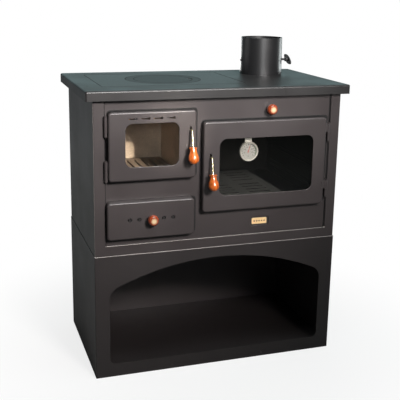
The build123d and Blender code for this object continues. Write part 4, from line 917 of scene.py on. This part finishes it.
class STOVE_OT_gap_shades(Operator):
    """Lays black bands of painted shade: shadow gaps behind the doors, beside the posts and in the
    hob
    """
    bl_idname = "stove.seals"
    # the gaskets and putty here are painted shade, black for the shadow gaps
    bl_label = "Gaskets and putty"

    def execute(self, context):
        fittings = context.scene.stove_fittings
        black = heatproof_paint("graphite_gasket", context.scene.stove_finishes.gap_shade, 0.8)
        plate_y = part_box("front_plate")[0].y
        self.lay_gap_shades(fittings, black, plate_y)
        self.run_post_shades(fittings, black, plate_y)
        self.fill_joint_shades(fittings, black)
        return {"FINISHED"}

    def lay_gap_shades(self, fittings, black, plate_y):
        """Flat black bands on the front plate, painted shadow gaps seen past the right, top and
        bottom of each panel.
        """
        inset, outer_corner, inner_corner, thick = 5.0 * MM, 10.0 * MM, 6.0 * MM, 0.4 * MM
        side, shows = fittings.gap_shade_right, fittings.gap_shade_top
        for name, panel, right, top, bottom in (
                ("fire_gasket", "fire_door_panel", side, shows, 1.0 * MM),
                ("oven_gasket", "oven_door_panel", 1.4 * side, shows, 1.0 * MM),
                ("drawer_gasket", "drawer_front", side, 0.6 * MM, 1.6 * MM)):
            low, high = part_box(panel)
            outer = rounded_outline((low.x, low.z - bottom), (high.x + right, high.z + top),
                                    outer_corner)
            inner = rounded_outline((low.x + inset, low.z + inset),
                                    (high.x - inset, high.z - inset), inner_corner)
            ring = band(name, outer, inner,
                        lambda point, level: (point[0], plate_y - level * thick, point[1]))
            new_piece(name, ring, black, "stove")

    def run_post_shades(self, fittings, black, plate_y):
        """Upright black beads in the corners between front plate and posts, painted shade of the
        gaps there.
        """
        rail_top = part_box("bottom_rail")[1].z
        hob_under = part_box("hob_frame")[0].z
        radius = fittings.post_shade_radius
        for name, x in (("putty_left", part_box("side_panel_left")[1].x + radius),
                        ("putty_right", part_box("side_panel_right")[0].x - radius)):
            run = bead(name, [(x, plate_y, rail_top), (x, plate_y, hob_under)], radius)
            new_piece(name, run, black, "stove")

    def fill_joint_shades(self, fittings, black):
        """Thin black lines round the hob's plate, ring and lid, painted shade of the gaps there."""
        width, proud, sunk = fittings.joint_shade_width, 0.12 * MM, 0.4 * MM
        for name, node, body, is_round in (("joint_plate", "hob_plate", "stove", False),
                                           ("joint_ring", "hob_ring", "stove", True),
                                           ("joint_lid", "hob_lid", "ring", True)):
            low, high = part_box(node)
            corner, steps = 3.0 * MM, 6
            if is_round:
                # made square, because the facets leave a round's box a hair off
                corner, steps = (high.y - low.y) / 2, 24
                low = Vector((high.x - 2 * corner, low.y, low.z))
            inner = rounded_outline((low.x, low.y), (high.x, high.y), corner, steps)
            outer = rounded_outline((low.x - width, low.y - width),
                                    (high.x + width, high.y + width), corner + width, steps)
            ring = band(name, outer, inner, lambda point, level: (
                point[0], point[1], high.z + (proud if level else -sunk)))
            new_piece(name, ring, black, body)


class STOVE_OT_edge_highlights(Operator):
    """Lays pale beads of painted highlight along the front edges of rail, base and left post"""
    bl_idname = "stove.rubbed_edges"
    bl_label = "Rubbed edges"

    def execute(self, context):
        # painted highlights: pale beads on the edges of rail and base, a dimmer one on the left
        # post
        pale = context.scene.stove_finishes.edge_highlight
        edge_highlight = heatproof_paint("rubbed_paint_edge", pale, 0.35)
        faint_highlight = heatproof_paint("rubbed_paint_post", scaled(pale, 0.5), 0.4)
        radius = context.scene.stove_fittings.highlight_radius
        sunk = 0.6 * radius
        rail_low, rail_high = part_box("bottom_rail")
        base_low, base_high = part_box("base_front")
        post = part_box("side_panel_left")[0]
        hob_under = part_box("hob_frame")[0].z
        rail_y, rail_z = rail_low.y + sunk, rail_high.z - sunk
        base_y, base_z = base_low.y + sunk, base_high.z - sunk
        post_x, post_y = post.x + sunk / 2, post.y + sunk / 2
        for name, start, end, thick, finish in (
                ("rubbed_rail", (rail_low.x, rail_y, rail_z), (rail_high.x, rail_y, rail_z),
                 radius, edge_highlight),
                ("rubbed_base", (base_low.x + sunk, base_y, base_z),
                 (base_high.x - sunk, base_y, base_z), radius, edge_highlight),
                ("rubbed_post", (post_x, post_y, base_high.z), (post_x, post_y, hob_under),
                 radius / 2, faint_highlight)):
            new_piece(name, bead(name, (start, end), thick), finish, "stove")
        return {"FINISHED"}


class STOVE_OT_fasteners(Operator):
    """Adds the rivets and screws of the base, hob, hinges and back panel"""
    bl_idname = "stove.fasteners"
    bl_label = "Rivets and screws"

    def execute(self, context):
        finishes = context.scene.stove_finishes
        fittings = context.scene.stove_fittings
        paint = heatproof_paint("silicone_paint_rivets", scaled(finishes.casing, 0.9), 0.38)
        hob_paint = heatproof_paint("silicone_paint_hob_screws", scaled(finishes.hob, 0.3), 0.5)
        radius, height = fittings.rivet_radius, fittings.rivet_height
        small, floor_gap, hob_inset, door_inset = 2.2 * MM, 12.0 * MM, 24.0 * MM, 6.5 * MM
        base_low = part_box("base_front")[0]
        feet = [(x * MM, base_low.y - height / 4, floor_gap) for x in (-145.0, 145.0)]
        hob_low, hob_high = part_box("hob_frame")
        marks = [(hob_low.x + hob_inset, hob_high.y - inward * MM, hob_high.z - height / 8)
                 for inward in (105.0, 345.0)]
        door_low, door_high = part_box("oven_door_panel")
        heads = [(door_high.x - door_inset, door_low.y - height / 4, door_low.z + rise * MM)
                 for rise in (52.0, 68.0)]
        tree = rivet_tree()
        for name, places, turn, size, tall, finish, body in (
                ("base_rivets", feet, FRONT, radius, height, paint, "stove"),
                ("back_rivets", self.back_places(fittings), BACK, radius, height, paint, "stove"),
                ("hob_screws", marks, TOP, fittings.screw_radius, height / 4, hob_paint, "stove"),
                ("oven_door_rivets", heads, FRONT, small, height, paint, "oven_door")):
            rivets(name, tree, places, turn, size, tall, finish, body)
        return {"FINISHED"}

    def back_places(self, fittings):
        """Rivets evenly round the back panel, further in from its top edge."""
        inset = 12.0 * MM
        low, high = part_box("back_panel")
        y = high.y + fittings.rivet_height / 4
        left, right = low.x + inset, high.x - inset
        bottom, top = low.z + inset, high.z - 3 * inset
        along = round((right - left) / fittings.back_pitch)
        up = round((top - bottom) / fittings.back_pitch)
        rows = [(left + (right - left) * i / along, y, z)
                for i in range(along + 1) for z in (bottom, top)]
        return rows + [(x, y, bottom + (top - bottom) * i / up)
                       for i in range(1, up) for x in (left, right)]


OPERATORS = (STOVE_OT_stage, STOVE_OT_casing, STOVE_OT_hob, STOVE_OT_flue, STOVE_OT_fire_side,
             STOVE_OT_oven, STOVE_OT_handles, STOVE_OT_glazing, STOVE_OT_thermometer,
             STOVE_OT_badge, STOVE_OT_gap_shades, STOVE_OT_edge_highlights, STOVE_OT_fasteners)


class STOVE_PT_sidebar(Panel):
    """Lists the steps that finish the stove"""
    bl_idname = "STOVE_PT_sidebar"
    bl_label = "Cook stove"
    bl_space_type = "VIEW_3D"
    bl_region_type = "UI"
    bl_category = "Stove"

    def draw(self, context):
        for step in OPERATORS:
            self.layout.operator(step.bl_idname)
        for settings in (context.scene.stove_finishes, context.scene.stove_fittings,
                         context.scene.stove_stage):
            box = self.layout.box()
            for name in settings.bl_rna.properties.keys():
                if name not in ("rna_type", "name"):
                    box.prop(settings, name)


CLASSES = (StoveFinishes, StoveFittings, StoveStage, *OPERATORS, STOVE_PT_sidebar)


def register():
    for item in CLASSES:
        bpy.utils.register_class(item)
    bpy.types.Scene.stove_finishes = PointerProperty(type=StoveFinishes)
    bpy.types.Scene.stove_fittings = PointerProperty(type=StoveFittings)
    bpy.types.Scene.stove_stage = PointerProperty(type=StoveStage)


def unregister():
    del bpy.types.Scene.stove_stage
    del bpy.types.Scene.stove_fittings
    del bpy.types.Scene.stove_finishes
    for item in reversed(CLASSES):
        bpy.utils.unregister_class(item)


def main():
    register()
    bpy.ops.stove.stage()
    bpy.ops.stove.casing()
    bpy.ops.stove.hob()
    bpy.ops.stove.flue()
    bpy.ops.stove.fire_side()
    bpy.ops.stove.oven()
    bpy.ops.stove.handles()
    bpy.ops.stove.glazing()
    bpy.ops.stove.thermometer()
    bpy.ops.stove.badge()
    bpy.ops.stove.seals()
    bpy.ops.stove.rubbed_edges()
    bpy.ops.stove.fasteners()


if __name__ == "__main__":
    main()
